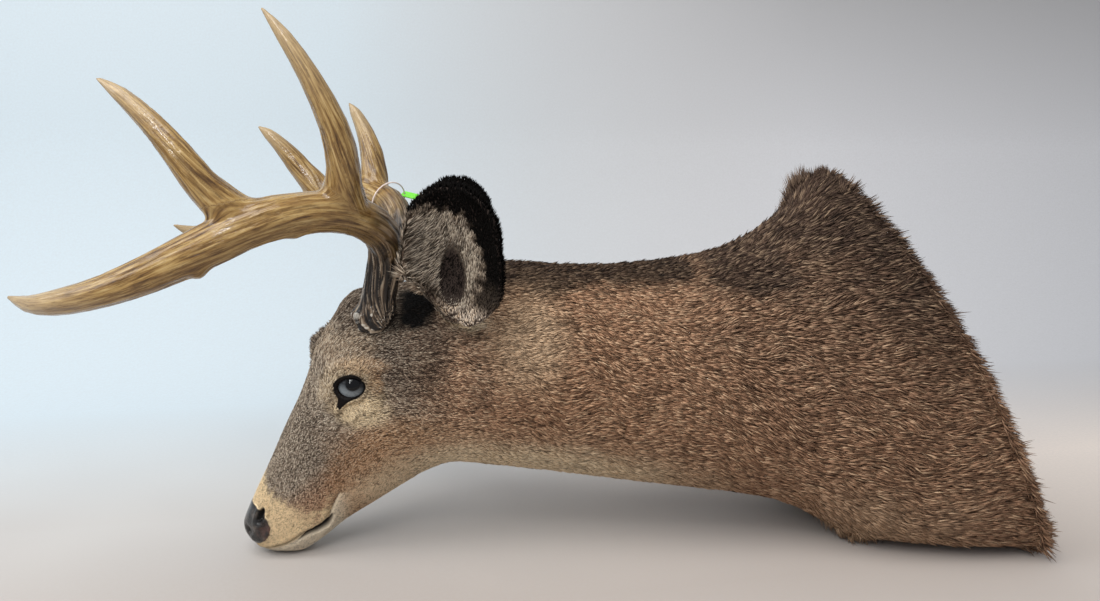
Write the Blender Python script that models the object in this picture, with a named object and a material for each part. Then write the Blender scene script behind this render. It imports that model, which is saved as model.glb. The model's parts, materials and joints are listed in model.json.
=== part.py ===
"""White-tailed deer shoulder mount, lying on its chin and brisket.

Units are metres, with +Z up. The nose points along -X and the wall board closes the other end.
+Y is the deer's right. The body is first made straight, with Y = 0 as its middle plane, and the
neck is then turned a little to the deer's right. Last of all everything is moved so that the
origin is under the middle of the whole mount, on the surface that it rests on.
"""
import math

import bmesh
import bpy
from mathutils import Matrix, Vector

MOUNT_EMPTY = "mount"               # the empty that carries every object

# ---- driving dimensions -------------------------------------------------------------------
GAP = 0.0003                       # clearance between neighbouring solids

WALL_FOOT = (0.004, 0.0)            # x, z of the wall board's lower edge
WITHERS = (-0.195, 0.403)          # x, z of the highest point of the cape, also at the wall
CHEST_HALF_WIDTH = 0.165

NECK_TURN = math.radians(6.0)      # how far the head is turned to the deer's right
TURN_START_X = -0.30               # the neck bends over this stretch
TURN_LENGTH = 0.30

BOARD_THICKNESS = 0.018
BOARD_PROUD = 0.003                # the board stands this far out of the hide's edge
HIDE_MARGIN = 0.016                # width of the hide's edge round the board
HIDE_MARGIN_AT_TOP = 1.6           # the edge's width at the withers, as a multiple of that

EYE_RADIUS = 0.0165
EYE_CENTRE = (-0.7125, -0.0480, 0.1935)

RING_POINTS = 28                   # points round the body
HORN_POINTS = 12                   # points round an antler
EYE_POINTS = (14, 8)               # segments round an eye, and rings across it
EAR_GRID = (12, 8)                 # quads along an ear and across it
SHARP_ANGLE = math.radians(50)     # edges sharper than this stay crisp
SLOPE_STEP = 0.01                  # step along a curve, as a share of it, to read its direction

# The body's landmarks from the wall to the nose. Each is a slanted ring:
# name, (x, z) of its lowest point, (x, z) of its highest point, half width, height of the
# widest level as a share of the ring, fullness of the upper and of the lower half (1 is an
# ellipse, less is squarer, more is leaner), and the rings built up to the next landmark.
LANDMARKS = (
    ("wall", WALL_FOOT, WITHERS, CHEST_HALF_WIDTH, 0.30, 1.25, 0.17, 3),
    ("brisket", (-0.090, -0.001), (-0.226, 0.396), 0.160, 0.31, 1.28, 0.28, 3),
    ("shoulder", (-0.182, 0.002), (-0.262, 0.358), 0.142, 0.36, 1.22, 0.55, 4),
    ("neck_root", (-0.270, 0.037), (-0.332, 0.324), 0.116, 0.42, 1.12, 0.88, 5),
    ("mid_neck", (-0.415, 0.063), (-0.452, 0.310), 0.094, 0.48, 1.05, 0.98, 5),
    ("upper_neck", (-0.548, 0.086), (-0.573, 0.313), 0.083, 0.52, 1.00, 1.00, 4),
    ("throat", (-0.612, 0.094), (-0.664, 0.292), 0.075, 0.56, 0.95, 1.05, 3),
    ("crown", (-0.632, 0.086), (-0.716, 0.283), 0.069, 0.62, 0.85, 1.15, 3),
    ("brow", (-0.648, 0.078), (-0.748, 0.242), 0.066, 0.66, 0.80, 1.25, 3),
    ("eye", (-0.668, 0.068), (-0.760, 0.208), 0.062, 0.66, 0.85, 1.30, 3),
    ("cheek", (-0.697, 0.052), (-0.774, 0.174), 0.050, 0.60, 0.95, 1.20, 3),
    ("bridge", (-0.730, 0.033), (-0.793, 0.138), 0.0385, 0.52, 1.00, 1.05, 3),
    ("muzzle", (-0.757, 0.012), (-0.812, 0.098), 0.0325, 0.48, 0.95, 0.95, 3),
    ("lip", (-0.782, -0.001), (-0.829, 0.060), 0.0290, 0.48, 0.85, 0.85, 3),
    ("nose", (-0.812, 0.001), (-0.8375, 0.040), 0.0220, 0.50, 0.80, 0.80, 0),
)
NOSE_TIP = (-0.8385, 0.022)        # x, z of the foremost point

# Shallow swellings and hollows of the head: name, (x, z) of the middle, radius, push outwards.
SWELLINGS = (
    ("eye socket", (-0.7125, 0.1935), 0.016, -0.0095),
    ("brow ridge", (-0.716, 0.216), 0.016, 0.004),
    ("cheek muscle", (-0.668, 0.135), 0.040, 0.006),
    ("tear hollow", (-0.738, 0.172), 0.015, -0.003),
    ("cheek hollow", (-0.728, 0.090), 0.026, -0.003),
    ("nostril rim", (-0.826, 0.040), 0.012, 0.0025),
)
MIDLINE_STRIP = 0.012              # points nearer the middle plane than this aren't pushed

# Cuts between the nodes of the body: (x, z) of the cut at the under line and at the top line.
NECK_ROOT_CUT = ((-0.262, 0.0), (-0.345, 0.330))
NECK_MID_CUT = ((-0.446, 0.0), (-0.470, 0.330))
HEAD_CUT = ((-0.608, 0.0), (-0.556, 0.330))
NOSE_CUT = ((-0.8135, 0.0), (-0.8250, 0.060))

# The mouth's slit seen from the side: its line from front to corner, and its height there.
MOUTH_LINE = ((-0.850, 0.0010), (-0.812, 0.0055), (-0.786, 0.0130), (-0.764, 0.0250),
              (-0.746, 0.0420), (-0.741, 0.0500))
MOUTH_HEIGHTS = (0.0010, 0.0010, 0.0014, 0.0042, 0.0036, 0.0006)
MOUTH_REACH = 0.08                 # how far the slit's cutter reaches to each side

# The nostrils: an egg-shaped hollow on each side of the nose pad.
NOSTRIL_CENTRE = (-0.8300, 0.0205, 0.0330)
NOSTRIL_RADII = (0.0038, 0.0075, 0.0080)
NOSTRIL_LEAN = math.radians(-24)

# Antlers: (x, outwards, z, radius) along each branch of the left one, straight up from the
# skull. The burr is the wide ring at the skin.
BEAM = (
    (-0.689, 0.037, 0.240, 0.0170), (-0.687, 0.044, 0.261, 0.0215), (-0.684, 0.048, 0.273, 0.0180),
    (-0.681, 0.052, 0.288, 0.0162), (-0.675, 0.062, 0.314, 0.0160), (-0.670, 0.084, 0.343, 0.0168),
    (-0.683, 0.113, 0.364, 0.0176), (-0.706, 0.137, 0.373, 0.0180), (-0.735, 0.158, 0.372, 0.0180),
    (-0.766, 0.174, 0.366, 0.0190), (-0.800, 0.184, 0.348, 0.0176), (-0.840, 0.187, 0.329, 0.0156),
    (-0.881, 0.181, 0.314, 0.0130), (-0.920, 0.168, 0.304, 0.0110), (-0.950, 0.154, 0.300, 0.0076),
    (-0.973, 0.142, 0.304, 0.0016),
)
REAR_TINE = (
    (-0.703, 0.135, 0.371, 0.0125), (-0.698, 0.140, 0.390, 0.0172), (-0.694, 0.149, 0.412, 0.0146),
    (-0.699, 0.160, 0.444, 0.0118), (-0.715, 0.168, 0.482, 0.0086), (-0.732, 0.170, 0.511, 0.0060),
    (-0.747, 0.170, 0.531, 0.0014),
)
FRONT_TINE = (
    (-0.772, 0.175, 0.364, 0.0125), (-0.782, 0.178, 0.379, 0.0168), (-0.797, 0.182, 0.396, 0.0142),
    (-0.813, 0.184, 0.420, 0.0114), (-0.833, 0.182, 0.445, 0.0088), (-0.855, 0.178, 0.466, 0.0062),
    (-0.873, 0.172, 0.478, 0.0014),
)
# The right antler is the left one's mirror image with shorter, steeper branches: how far each
# branch is drawn in towards its root, how far the beam's tip is lifted, and how much of their
# bow the tines keep.
RIGHT_BEAM_LENGTH = 0.855
RIGHT_BEAM_LIFT = 0.046
RIGHT_REAR_TINE_LENGTH = 0.68
RIGHT_FRONT_TINE_LENGTH = 0.73
RIGHT_TINE_BOW = 0.45
# The beam's point that carries the front tine, and where along the beam (0 at the skull, 1 at
# the tip) it is parted into lengths, just past each fork.
FRONT_FORK = 9
BEAM_PARTINGS = (0.52, 0.67)
BEAM_RINGS = 34
TINE_RINGS = 12
HORN_TIP = 0.003                   # length of the blunt point past the last ring

# Ear: the line up the back of its cup from the lobe to the tip, the way the cup opens, on the
# left side, its half width, and the share of its length where it is widest.
EAR_BACK = ((-0.604, -0.083, 0.246), (-0.602, -0.083, 0.280), (-0.600, -0.090, 0.318),
            (-0.601, -0.103, 0.356), (-0.608, -0.116, 0.394))
EAR_OPENING = (-0.42, -0.88, -0.20)
EAR_HALF_WIDTH = 0.0500
EAR_WIDEST = 0.44
EAR_LOBE_ROUNDNESS = 1.8           # 2 is an elliptical end, more is blunter, less more pointed
EAR_TIP_ROUNDNESS = 2.6
EAR_WRAP = math.radians(54)        # how far each side of the cup curls round
EAR_THICKNESS = 0.0055
# The ear's stem: its two ends, inside the skull and at the cup's back, and its radii there.
EAR_STEM = ((-0.612, -0.040, 0.277), (-0.603, -0.0815, 0.277))
EAR_STEM_RADII = (0.019, 0.015)
EAR_STEM_POINTS = 16

# Tag: a small plain plate hung from a loose wire ring round the right beam.
TAG_BEAM_PLACE = 0.42              # where along the right beam the ring hangs
TAG_WIRE_RADIUS = 0.0008
TAG_RING_RADIUS = 0.0222
TAG_RING_SLACK = 0.0026            # how far the ring hangs behind the beam's middle
TAG_SIZE = (0.011, 0.021, 0.0011)  # width, length, thickness
TAG_CORNER = 0.22                  # its corners' radius, as a share of its width
TAG_LEAN = 0.5                     # how far it stands off the beam as it hangs down it
TAG_HOLE_RADIUS = 0.0016
TAG_HOLE_MARGIN = 0.0032           # from the hole's middle to the plate's end

# Colour, roughness and metallic value of each finish.
COLOURS = {
    "coat": ((0.27, 0.19, 0.12), 0.85, 0.0),
    "ear": ((0.16, 0.12, 0.09), 0.85, 0.0),
    "nose": ((0.02, 0.02, 0.02), 0.45, 0.0),
    "eye": ((0.03, 0.04, 0.05), 0.08, 0.0),
    "antler": ((0.45, 0.29, 0.13), 0.30, 0.0),
    "plywood": ((0.62, 0.46, 0.28), 0.65, 0.0),
    "tag": ((0.20, 0.72, 0.06), 0.45, 0.0),
    "wire": ((0.80, 0.70, 0.66), 0.50, 0.0),
}


# ---- helpers ------------------------------------------------------------------------------
def clear_scene():
    for obj in list(bpy.data.objects):
        bpy.data.objects.remove(obj, do_unlink=True)


def make_material(name):
    colour, roughness, metallic = COLOURS[name]
    material = bpy.data.materials.new(name)
    material.use_nodes = True
    shader = material.node_tree.nodes["Principled BSDF"]
    shader.inputs["Base Color"].default_value = (*colour, 1.0)
    shader.inputs["Roughness"].default_value = roughness
    shader.inputs["Metallic"].default_value = metallic
    return material


def spline_point(rows, t):
    """The point at t (0 to 1) of a smooth Catmull-Rom curve through rows of numbers."""
    spans = len(rows) - 1
    place = min(max(t, 0.0), 1.0) * spans
    i = min(int(place), spans - 1)
    f = place - i
    p1, p2 = rows[i], rows[i + 1]
    p0 = rows[i - 1] if i > 0 else tuple(2 * a - b for a, b in zip(p1, p2))
    p3 = rows[i + 2] if i + 2 <= spans else tuple(2 * b - a for a, b in zip(p1, p2))
    return tuple(
        0.5 * (2 * b + (c - a) * f + (2 * a - 5 * b + 4 * c - d) * f ** 2
               + (3 * b - a - 3 * c + d) * f ** 3)
        for a, b, c, d in zip(p0, p1, p2, p3))


def turn_head(point):
    """Bend the straight body at the neck, round an upright axis to the deer's right."""
    run = TURN_START_X - point.x
    if run <= 0.0:
        return point.copy()
    radius = TURN_LENGTH / NECK_TURN
    angle = NECK_TURN * min(run / TURN_LENGTH, 1.0)
    beyond = max(run - TURN_LENGTH, 0.0)
    middle_x = TURN_START_X - radius * math.sin(angle) - beyond * math.cos(angle)
    middle_y = radius * (1.0 - math.cos(angle)) + beyond * math.sin(angle)
    return Vector((middle_x + point.y * math.sin(angle), middle_y + point.y * math.cos(angle), point.z))


def add_to_mount(obj):
    """Put an object in the scene, under the empty that carries the whole mount."""
    bpy.context.scene.collection.objects.link(obj)
    if obj.name != MOUNT_EMPTY:
        obj.parent = bpy.data.objects[MOUNT_EMPTY]
    return obj


def new_object(name, mesh_source, material, smooth=True):
    """Make an object from a bmesh whose points are on the straight body, and turn its head."""
    bmesh.ops.recalc_face_normals(mesh_source, faces=mesh_source.faces)
    for vert in mesh_source.verts:
        vert.co = turn_head(vert.co)
    mesh = bpy.data.meshes.new(name)
    mesh_source.to_mesh(mesh)
    mesh_source.free()
    mesh.materials.append(material)
    if smooth:
        mesh.shade_smooth()
        mesh.set_sharp_from_angle(angle=SHARP_ANGLE)
    return add_to_mount(bpy.data.objects.new(name, mesh))


def skin_rings(bm, rings, tip=None):
    """Join rings of points into a closed shell, with a flat start and a flat or pointed end."""
    loops = [[bm.verts.new(point) for point in ring] for ring in rings]
    count = len(loops[0])
    for lower, upper in zip(loops, loops[1:]):
        for i in range(count):
            j = (i + 1) % count
            bm.faces.new((lower[i], lower[j], upper[j], upper[i]))
    bm.faces.new(loops[0])
    if tip is None:
        bm.faces.new(loops[-1])
    else:
        point = bm.verts.new(tip)
        for i in range(count):
            bm.faces.new((loops[-1][i], loops[-1][(i + 1) % count], point))
    return loops


def cut_away(obj, cutter):
    modifier = obj.modifiers.new("cut by " + cutter.name, "BOOLEAN")
    modifier.operation = "DIFFERENCE"
    modifier.object = cutter


def as_cutter(obj):
    obj.hide_render = True
    obj.display_type = "WIRE"
    return obj


def swollen_copy(obj, name):
    """A guide that is a copy of obj, grown by the gap, to cut its neighbours with."""
    bm = bmesh.new()
    bm.from_mesh(obj.data)
    bm.normal_update()
    shifts = [(vert, vert.normal * GAP * vert.calc_shell_factor()) for vert in bm.verts]
    for vert, shift in shifts:
        vert.co += shift
    mesh = bpy.data.meshes.new(name)
    bm.to_mesh(mesh)
    bm.free()
    return as_cutter(add_to_mount(bpy.data.objects.new(name, mesh)))


# ---- body ---------------------------------------------------------------------------------
def body_ring(under, top, half_width, widest, upper_fullness, lower_fullness):
    """One ring of the body: an egg-shaped loop between its lowest and its highest point."""
    low = Vector((under[0], 0.0, under[1]))
    rise = Vector((top[0] - under[0], 0.0, top[1] - under[1]))
    ring = []
    for i in range(RING_POINTS):
        turn = math.tau * i / RING_POINTS
        up, out = math.cos(turn), math.sin(turn)
        if up >= 0.0:
            height = widest + (1.0 - widest) * up
            fullness = upper_fullness
        else:
            height = widest + widest * up
            fullness = lower_fullness
        across = half_width * math.copysign(abs(out) ** fullness, out)
        ring.append(low + rise * height + Vector((0.0, across, 0.0)))
    return ring


def body_rings():
    rows = [(*under, *top, width, widest, upper, lower)
            for _, under, top, width, widest, upper, lower, _ in LANDMARKS]
    rings = []
    for i, landmark in enumerate(LANDMARKS):
        steps = landmark[-1]
        for k in range(max(steps, 1)):
            values = spline_point(rows, (i + k / max(steps, 1)) / (len(rows) - 1))
            rings.append(body_ring(values[0:2], values[2:4], *values[4:8]))
    return rings


def push_swellings(point):
    for _, middle, radius, push in SWELLINGS:
        distance = math.hypot(point.x - middle[0], point.z - middle[1])
        amount = push * math.exp(-(distance / radius) ** 2)
        if abs(point.y) > MIDLINE_STRIP:
            point.y += amount if point.y > 0.0 else -amount
    return point


def wall_frame():
    """The wall plane's up direction and its outward normal."""
    up = Vector((WITHERS[0] - WALL_FOOT[0], 0.0, WITHERS[1] - WALL_FOOT[1])).normalized()
    return up, Vector((up.z, 0.0, -up.x))


def board_outline(margin):
    """The wall ring drawn in by a margin all round, in the plane of the hide's edge."""
    _, under, top, width, widest, upper, lower, _ = LANDMARKS[0]
    up, _ = wall_frame()
    low = Vector((under[0], 0.0, under[1])) + up * margin
    high = Vector((top[0], 0.0, top[1])) - up * margin * HIDE_MARGIN_AT_TOP
    return body_ring((low.x, low.z), (high.x, high.z), width - margin, widest, upper, lower)


def whole_body():
    """The body in one piece, with a pocket for the board at the wall end."""
    _, outward = wall_frame()
    hide_edge = -outward * BOARD_PROUD
    depth = -outward * (BOARD_THICKNESS + GAP)
    pocket_floor = [point + depth for point in board_outline(HIDE_MARGIN)]
    pocket_mouth = [point + hide_edge for point in board_outline(HIDE_MARGIN)]
    rings = body_rings()
    rings[0] = [point + hide_edge for point in rings[0]]
    rings = [[push_swellings(point) for point in ring] for ring in rings]
    bm = bmesh.new()
    tip = Vector((NOSE_TIP[0], 0.0, NOSE_TIP[1]))
    skin_rings(bm, [pocket_floor, pocket_mouth] + rings, tip)
    for vert in bm.verts:
        vert.co.z = max(vert.co.z, 0.0)
    return bm


def keep_one_side(bm, place, direction):
    """Cut a closed bmesh with a plane, keep what lies along direction from it, and close the cut."""
    geometry = bm.verts[:] + bm.edges[:] + bm.faces[:]
    result = bmesh.ops.bisect_plane(bm, geom=geometry, dist=1e-6, plane_co=place + direction * GAP / 2,
                                    plane_no=direction, clear_inner=True)
    rim = [item for item in result["geom_cut"] if isinstance(item, bmesh.types.BMEdge)]
    bmesh.ops.triangle_fill(bm, use_beauty=True, edges=rim)


def cross_cut(cut):
    """A plane across the body from its two named points: a place on it, and the way to the nose."""
    low, high = (Vector((x, 0.0, z)) for x, z in cut)
    along = (high - low).normalized()
    return low, Vector((-along.z, 0.0, along.x))


def make_body(material):
    """Part the body into cape, two lengths of neck, head and nose pad."""
    cuts = (NECK_ROOT_CUT, NECK_MID_CUT, HEAD_CUT, NOSE_CUT)
    names = ("shoulders", "neck_lower", "neck_upper", "head", "nose")
    pieces = {}
    whole = whole_body()
    for i, name in enumerate(names):
        bm = whole.copy()
        if i > 0:
            place, forward = cross_cut(cuts[i - 1])
            keep_one_side(bm, place, forward)
        if i < len(cuts):
            place, forward = cross_cut(cuts[i])
            keep_one_side(bm, place, -forward)
        finish = material["nose"] if name == "nose" else material["coat"]
        pieces[name] = new_object(name, bm, finish)
    whole.free()
    return pieces


def make_mouth_cutter(material):
    bm = bmesh.new()
    upper = [Vector((x, -MOUTH_REACH, z + h / 2)) for (x, z), h in zip(MOUTH_LINE, MOUTH_HEIGHTS)]
    lower = [Vector((x, -MOUTH_REACH, z - h / 2)) for (x, z), h in zip(MOUTH_LINE, MOUTH_HEIGHTS)]
    face = bm.faces.new([bm.verts.new(point) for point in upper + lower[::-1]])
    result = bmesh.ops.extrude_face_region(bm, geom=[face])
    moved = [item for item in result["geom"] if isinstance(item, bmesh.types.BMVert)]
    bmesh.ops.translate(bm, verts=moved, vec=(0.0, 2 * MOUTH_REACH, 0.0))
    return as_cutter(new_object("guide_mouth", bm, material, smooth=False))


def make_nostril_cutter(side, material):
    bm = bmesh.new()
    bmesh.ops.create_uvsphere(bm, u_segments=12, v_segments=8, radius=1.0)
    shape = Matrix.Diagonal((*NOSTRIL_RADII, 1.0))
    lean = Matrix.Rotation(NOSTRIL_LEAN, 4, "Y")
    x, out, z = NOSTRIL_CENTRE
    place = Matrix.Translation((x, side * out, z))
    bmesh.ops.transform(bm, matrix=place @ lean @ shape, verts=bm.verts)
    return as_cutter(new_object("guide_nostril", bm, material, smooth=False))


# ---- eyes, ears ---------------------------------------------------------------------------
def make_eye(name, side, radius, material):
    bm = bmesh.new()
    round_points, rings = EYE_POINTS
    bmesh.ops.create_uvsphere(bm, u_segments=round_points, v_segments=rings, radius=radius)
    facing = Matrix.Rotation(math.radians(90), 4, "X")
    place = Matrix.Translation((EYE_CENTRE[0], -side * EYE_CENTRE[1], EYE_CENTRE[2]))
    bmesh.ops.transform(bm, matrix=place @ facing, verts=bm.verts)
    return new_object(name, bm, material)


def ear_point(side, t, across):
    """A point on the ear's sheet: t runs from lobe to tip, across from front to rear edge."""
    point = Vector(spline_point(EAR_BACK, t))
    before, after = (Vector(spline_point(EAR_BACK, t + step)) for step in (-SLOPE_STEP, SLOPE_STEP))
    axis = (after - before).normalized()
    opening = Vector(EAR_OPENING)
    opening = (opening - axis * opening.dot(axis)).normalized()
    sideways = axis.cross(opening)
    if t < EAR_WIDEST:
        share = 1.0 - ((EAR_WIDEST - t) / (EAR_WIDEST + SLOPE_STEP)) ** EAR_LOBE_ROUNDNESS
    else:
        share = 1.0 - ((t - EAR_WIDEST) / (1.0 + SLOPE_STEP - EAR_WIDEST)) ** EAR_TIP_ROUNDNESS
    radius = EAR_HALF_WIDTH * math.sqrt(share) / math.sin(EAR_WRAP)
    angle = EAR_WRAP * across
    point += sideways * radius * math.sin(angle) + opening * radius * (1.0 - math.cos(angle))
    return Vector((point.x, -side * point.y, point.z))


def make_ear_stem(side, material):
    """The muscled root that joins the ear's cup to the skull."""
    start, end = (Vector((x, -side * y, z)) for x, y, z in EAR_STEM)
    direction = (end - start).normalized()
    bm = bmesh.new()
    bmesh.ops.create_cone(bm, segments=EAR_STEM_POINTS, cap_ends=True, radius1=EAR_STEM_RADII[0],
                          radius2=EAR_STEM_RADII[1], depth=(end - start).length)
    turn = direction.to_track_quat("Z", "Y").to_matrix().to_4x4()
    bmesh.ops.transform(bm, matrix=Matrix.Translation((start + end) / 2) @ turn, verts=bm.verts)
    return as_cutter(new_object("guide_ear_stem", bm, material, smooth=False))


def make_ear(name, side, material):
    bm = bmesh.new()
    lengths, widths = EAR_GRID
    heights = [0.5 - 0.5 * math.cos(math.pi * i / lengths) for i in range(lengths + 1)]
    acrosses = [2.0 * k / widths - 1.0 for k in range(widths + 1)]
    grid = [[bm.verts.new(ear_point(side, t, across)) for across in acrosses] for t in heights]
    for i in range(lengths):
        for k in range(widths):
            bm.faces.new((grid[i][k], grid[i][k + 1], grid[i + 1][k + 1], grid[i + 1][k]))
    ear = new_object(name, bm, material)
    wall = ear.modifiers.new("thickness", "SOLIDIFY")
    wall.thickness = EAR_THICKNESS
    wall.offset = 0.0
    wall.use_even_offset = False
    stem = ear.modifiers.new("stem", "BOOLEAN")
    stem.operation = "UNION"
    stem.object = make_ear_stem(side, material)
    return ear


# ---- antlers ------------------------------------------------------------------------------
def drawn_in(rows, share, lift=0.0, bow=1.0):
    """The same branch, shortened towards its root, with its end lifted and its bow flattened."""
    root, end = rows[0], rows[-1]
    result = []
    for i, row in enumerate(rows):
        t = i / (len(rows) - 1)
        straight = [root[k] + (end[k] - root[k]) * t for k in range(3)]
        shrink = 1.0 + (share - 1.0) * t
        bowed = [straight[k] + (row[k] - straight[k]) * bow for k in range(3)]
        place = [root[k] + (bowed[k] - root[k]) * shrink for k in range(3)]
        result.append((place[0], place[1], place[2] + lift * t ** 2, row[3]))
    return tuple(result)


def horn_mesh(rows, side, count):
    """A whole branch as a closed bmesh, with rings kept free of twist and a blunt point."""
    rows = [(x, side * out, z, radius) for x, out, z, radius in rows]
    samples = [spline_point(rows, i / count) for i in range(count + 1)]
    points = [Vector(sample[:3]) for sample in samples]
    sideways = Vector((0.0, 1.0, 0.0))
    rings = []
    for i, sample in enumerate(samples):
        direction = (points[min(i + 1, count)] - points[max(i - 1, 0)]).normalized()
        sideways = (sideways - direction * sideways.dot(direction)).normalized()
        other = direction.cross(sideways)
        ring = []
        for k in range(HORN_POINTS):
            turn = math.tau * k / HORN_POINTS
            ring.append(points[i] + (sideways * math.cos(turn) + other * math.sin(turn)) * sample[3])
        rings.append(ring)
    bm = bmesh.new()
    skin_rings(bm, rings, tip=points[-1] + (points[-1] - points[-2]).normalized() * HORN_TIP)
    return bm


def horn_plane(rows, side, t):
    """The plane across a branch at share t of its length: a place on it, and the way to the tip."""
    before, here, after = (spline_point(rows, t + step) for step in (-SLOPE_STEP, 0.0, SLOPE_STEP))
    mirror = Vector((1.0, side, 1.0))
    direction = (Vector(after[:3]) - Vector(before[:3])).normalized()
    return Vector(here[:3]) * mirror, direction * mirror


def right_beam():
    return drawn_in(BEAM, RIGHT_BEAM_LENGTH, RIGHT_BEAM_LIFT)


def make_antler(side_name, side, head_guide, material):
    if side_name == "left":
        beam, rear, front = BEAM, REAR_TINE, FRONT_TINE
    else:
        beam = right_beam()
        shift = [beam[FRONT_FORK][k] - BEAM[FRONT_FORK][k] for k in range(3)]
        front = [(x + shift[0], out + shift[1], z + shift[2], radius)
                 for x, out, z, radius in FRONT_TINE]
        front = drawn_in(front, RIGHT_FRONT_TINE_LENGTH, bow=RIGHT_TINE_BOW)
        rear = drawn_in(REAR_TINE, RIGHT_REAR_TINE_LENGTH, bow=RIGHT_TINE_BOW)
    prefix = "antler_" + side_name
    planes = [horn_plane(beam, side, t) for t in BEAM_PARTINGS]
    whole = horn_mesh(beam, side, BEAM_RINGS)
    guides = []
    for i, name in enumerate(("_base", "_middle", "_point")):
        bm = whole.copy()
        if i > 0:
            keep_one_side(bm, *planes[i - 1])
        if i < len(planes):
            place, direction = planes[i]
            keep_one_side(bm, place, -direction)
        piece = new_object(prefix + name, bm, material)
        guides.append(swollen_copy(piece, "guide_" + piece.name))
        if i == 0:
            cut_away(piece, head_guide)
    whole.free()
    for name, rows in (("_rear_tine", rear), ("_front_tine", front)):
        tine = new_object(prefix + name, horn_mesh(rows, side, TINE_RINGS), material)
        for guide in guides:
            cut_away(tine, guide)


# ---- tag ----------------------------------------------------------------------------------
def tag_frame():
    """Middle of the tag's ring, the way the beam runs there, and the way to the deer's rear."""
    middle, along = horn_plane(right_beam(), 1, TAG_BEAM_PLACE)
    rearward = Vector((1.0, 0.0, 0.0))
    rearward = (rearward - along * rearward.dot(along)).normalized()
    return middle + rearward * TAG_RING_SLACK, along, rearward


def make_tag_wire(material):
    middle, along, rearward = tag_frame()
    bm = bmesh.new()
    across = Matrix.Rotation(math.radians(90), 4, "X")
    rim = bmesh.ops.create_circle(bm, segments=6, radius=TAG_WIRE_RADIUS, matrix=across)["verts"]
    bmesh.ops.translate(bm, verts=rim, vec=(TAG_RING_RADIUS, 0.0, 0.0))
    bmesh.ops.spin(bm, geom=bm.edges[:], cent=(0.0, 0.0, 0.0), axis=(0.0, 0.0, 1.0), angle=math.tau,
                   steps=24, use_merge=True)
    frame = Matrix((rearward, along.cross(rearward), along)).transposed().to_4x4()
    bmesh.ops.transform(bm, matrix=Matrix.Translation(middle) @ frame, verts=bm.verts)
    return new_object("tag_wire", bm, material)


def make_tag(material):
    middle, along, rearward = tag_frame()
    facing = along.cross(rearward)
    hanging = (rearward * TAG_LEAN - along).normalized()
    frame = Matrix((facing.cross(hanging), hanging, facing)).transposed().to_4x4()
    width, length, thickness = TAG_SIZE
    hole = middle + rearward * TAG_RING_RADIUS
    bm = bmesh.new()
    bmesh.ops.create_cube(bm, size=1.0)
    bmesh.ops.scale(bm, verts=bm.verts, vec=(width, length, thickness))
    corners = [edge for edge in bm.edges
               if abs(edge.verts[0].co.z - edge.verts[1].co.z) > thickness / 2]
    bmesh.ops.bevel(bm, geom=corners, offset=width * TAG_CORNER, segments=3, profile=0.5,
                    affect="EDGES", material=-1)
    bmesh.ops.translate(bm, verts=bm.verts, vec=(0.0, length / 2 - TAG_HOLE_MARGIN, 0.0))
    bmesh.ops.transform(bm, matrix=Matrix.Translation(hole) @ frame, verts=bm.verts)
    tag = new_object("tag", bm, material, smooth=False)
    bm = bmesh.new()
    bmesh.ops.create_cone(bm, segments=12, cap_ends=True, radius1=TAG_HOLE_RADIUS,
                          radius2=TAG_HOLE_RADIUS, depth=thickness * 4)
    bmesh.ops.transform(bm, matrix=Matrix.Translation(hole) @ frame, verts=bm.verts)
    cut_away(tag, as_cutter(new_object("guide_tag_hole", bm, material, smooth=False)))
    return tag


# ---- board --------------------------------------------------------------------------------
def make_board(material):
    _, outward = wall_frame()
    outline = board_outline(HIDE_MARGIN + GAP)
    bm = bmesh.new()
    skin_rings(bm, [[point - outward * BOARD_THICKNESS for point in outline], outline])
    return new_object("wall_board", bm, material, smooth=False)


# ---- place --------------------------------------------------------------------------------
def stand_over_origin(mount):
    """Move the mount so that its box stands with its bottom's middle on the origin."""
    bpy.context.view_layer.update()
    graph = bpy.context.evaluated_depsgraph_get()
    corners = []
    for obj in bpy.data.objects:
        if obj.type == "MESH" and not obj.hide_render:
            corners += [Vector(corner) for corner in obj.evaluated_get(graph).bound_box]
    middle_x = (min(c.x for c in corners) + max(c.x for c in corners)) / 2
    middle_y = (min(c.y for c in corners) + max(c.y for c in corners)) / 2
    mount.location = (-middle_x, -middle_y, 0.0)


# ---- build --------------------------------------------------------------------------------
def main():
    clear_scene()
    mount = add_to_mount(bpy.data.objects.new(MOUNT_EMPTY, None))
    material = {name: make_material(name) for name in COLOURS}
    body = make_body(material)
    head_guide = swollen_copy(body["head"], "guide_head")
    cut_away(body["head"], make_mouth_cutter(material["coat"]))
    for side_name, side in (("left", -1), ("right", 1)):
        make_eye("eye_" + side_name, side, EYE_RADIUS, material["eye"])
        socket = as_cutter(make_eye("guide_socket", side, EYE_RADIUS + GAP, material["eye"]))
        cut_away(body["head"], socket)
        cut_away(body["nose"], make_nostril_cutter(side, material["nose"]))
        ear = make_ear("ear_" + side_name, side, material["ear"])
        cut_away(ear, head_guide)
        make_antler(side_name, side, head_guide, material["antler"])
    make_tag_wire(material["wire"])
    make_tag(material["tag"])
    make_board(material["plywood"])
    stand_over_origin(mount)


main()
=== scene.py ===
# %% [markdown]
# # A white-tailed buck's shoulder mount
# A shoulder mount is a tanned hide, the cape, glued over a foam form of the head, neck and
# shoulders. The antlers are real bone, lacquered, and the eyes are glass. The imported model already
# has the right sizes, so each piece here is built round it, in metres, in the same frame. The deer
# looks along -X, its right side is +Y, and it lies on its chin and brisket at Z = 0.

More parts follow.
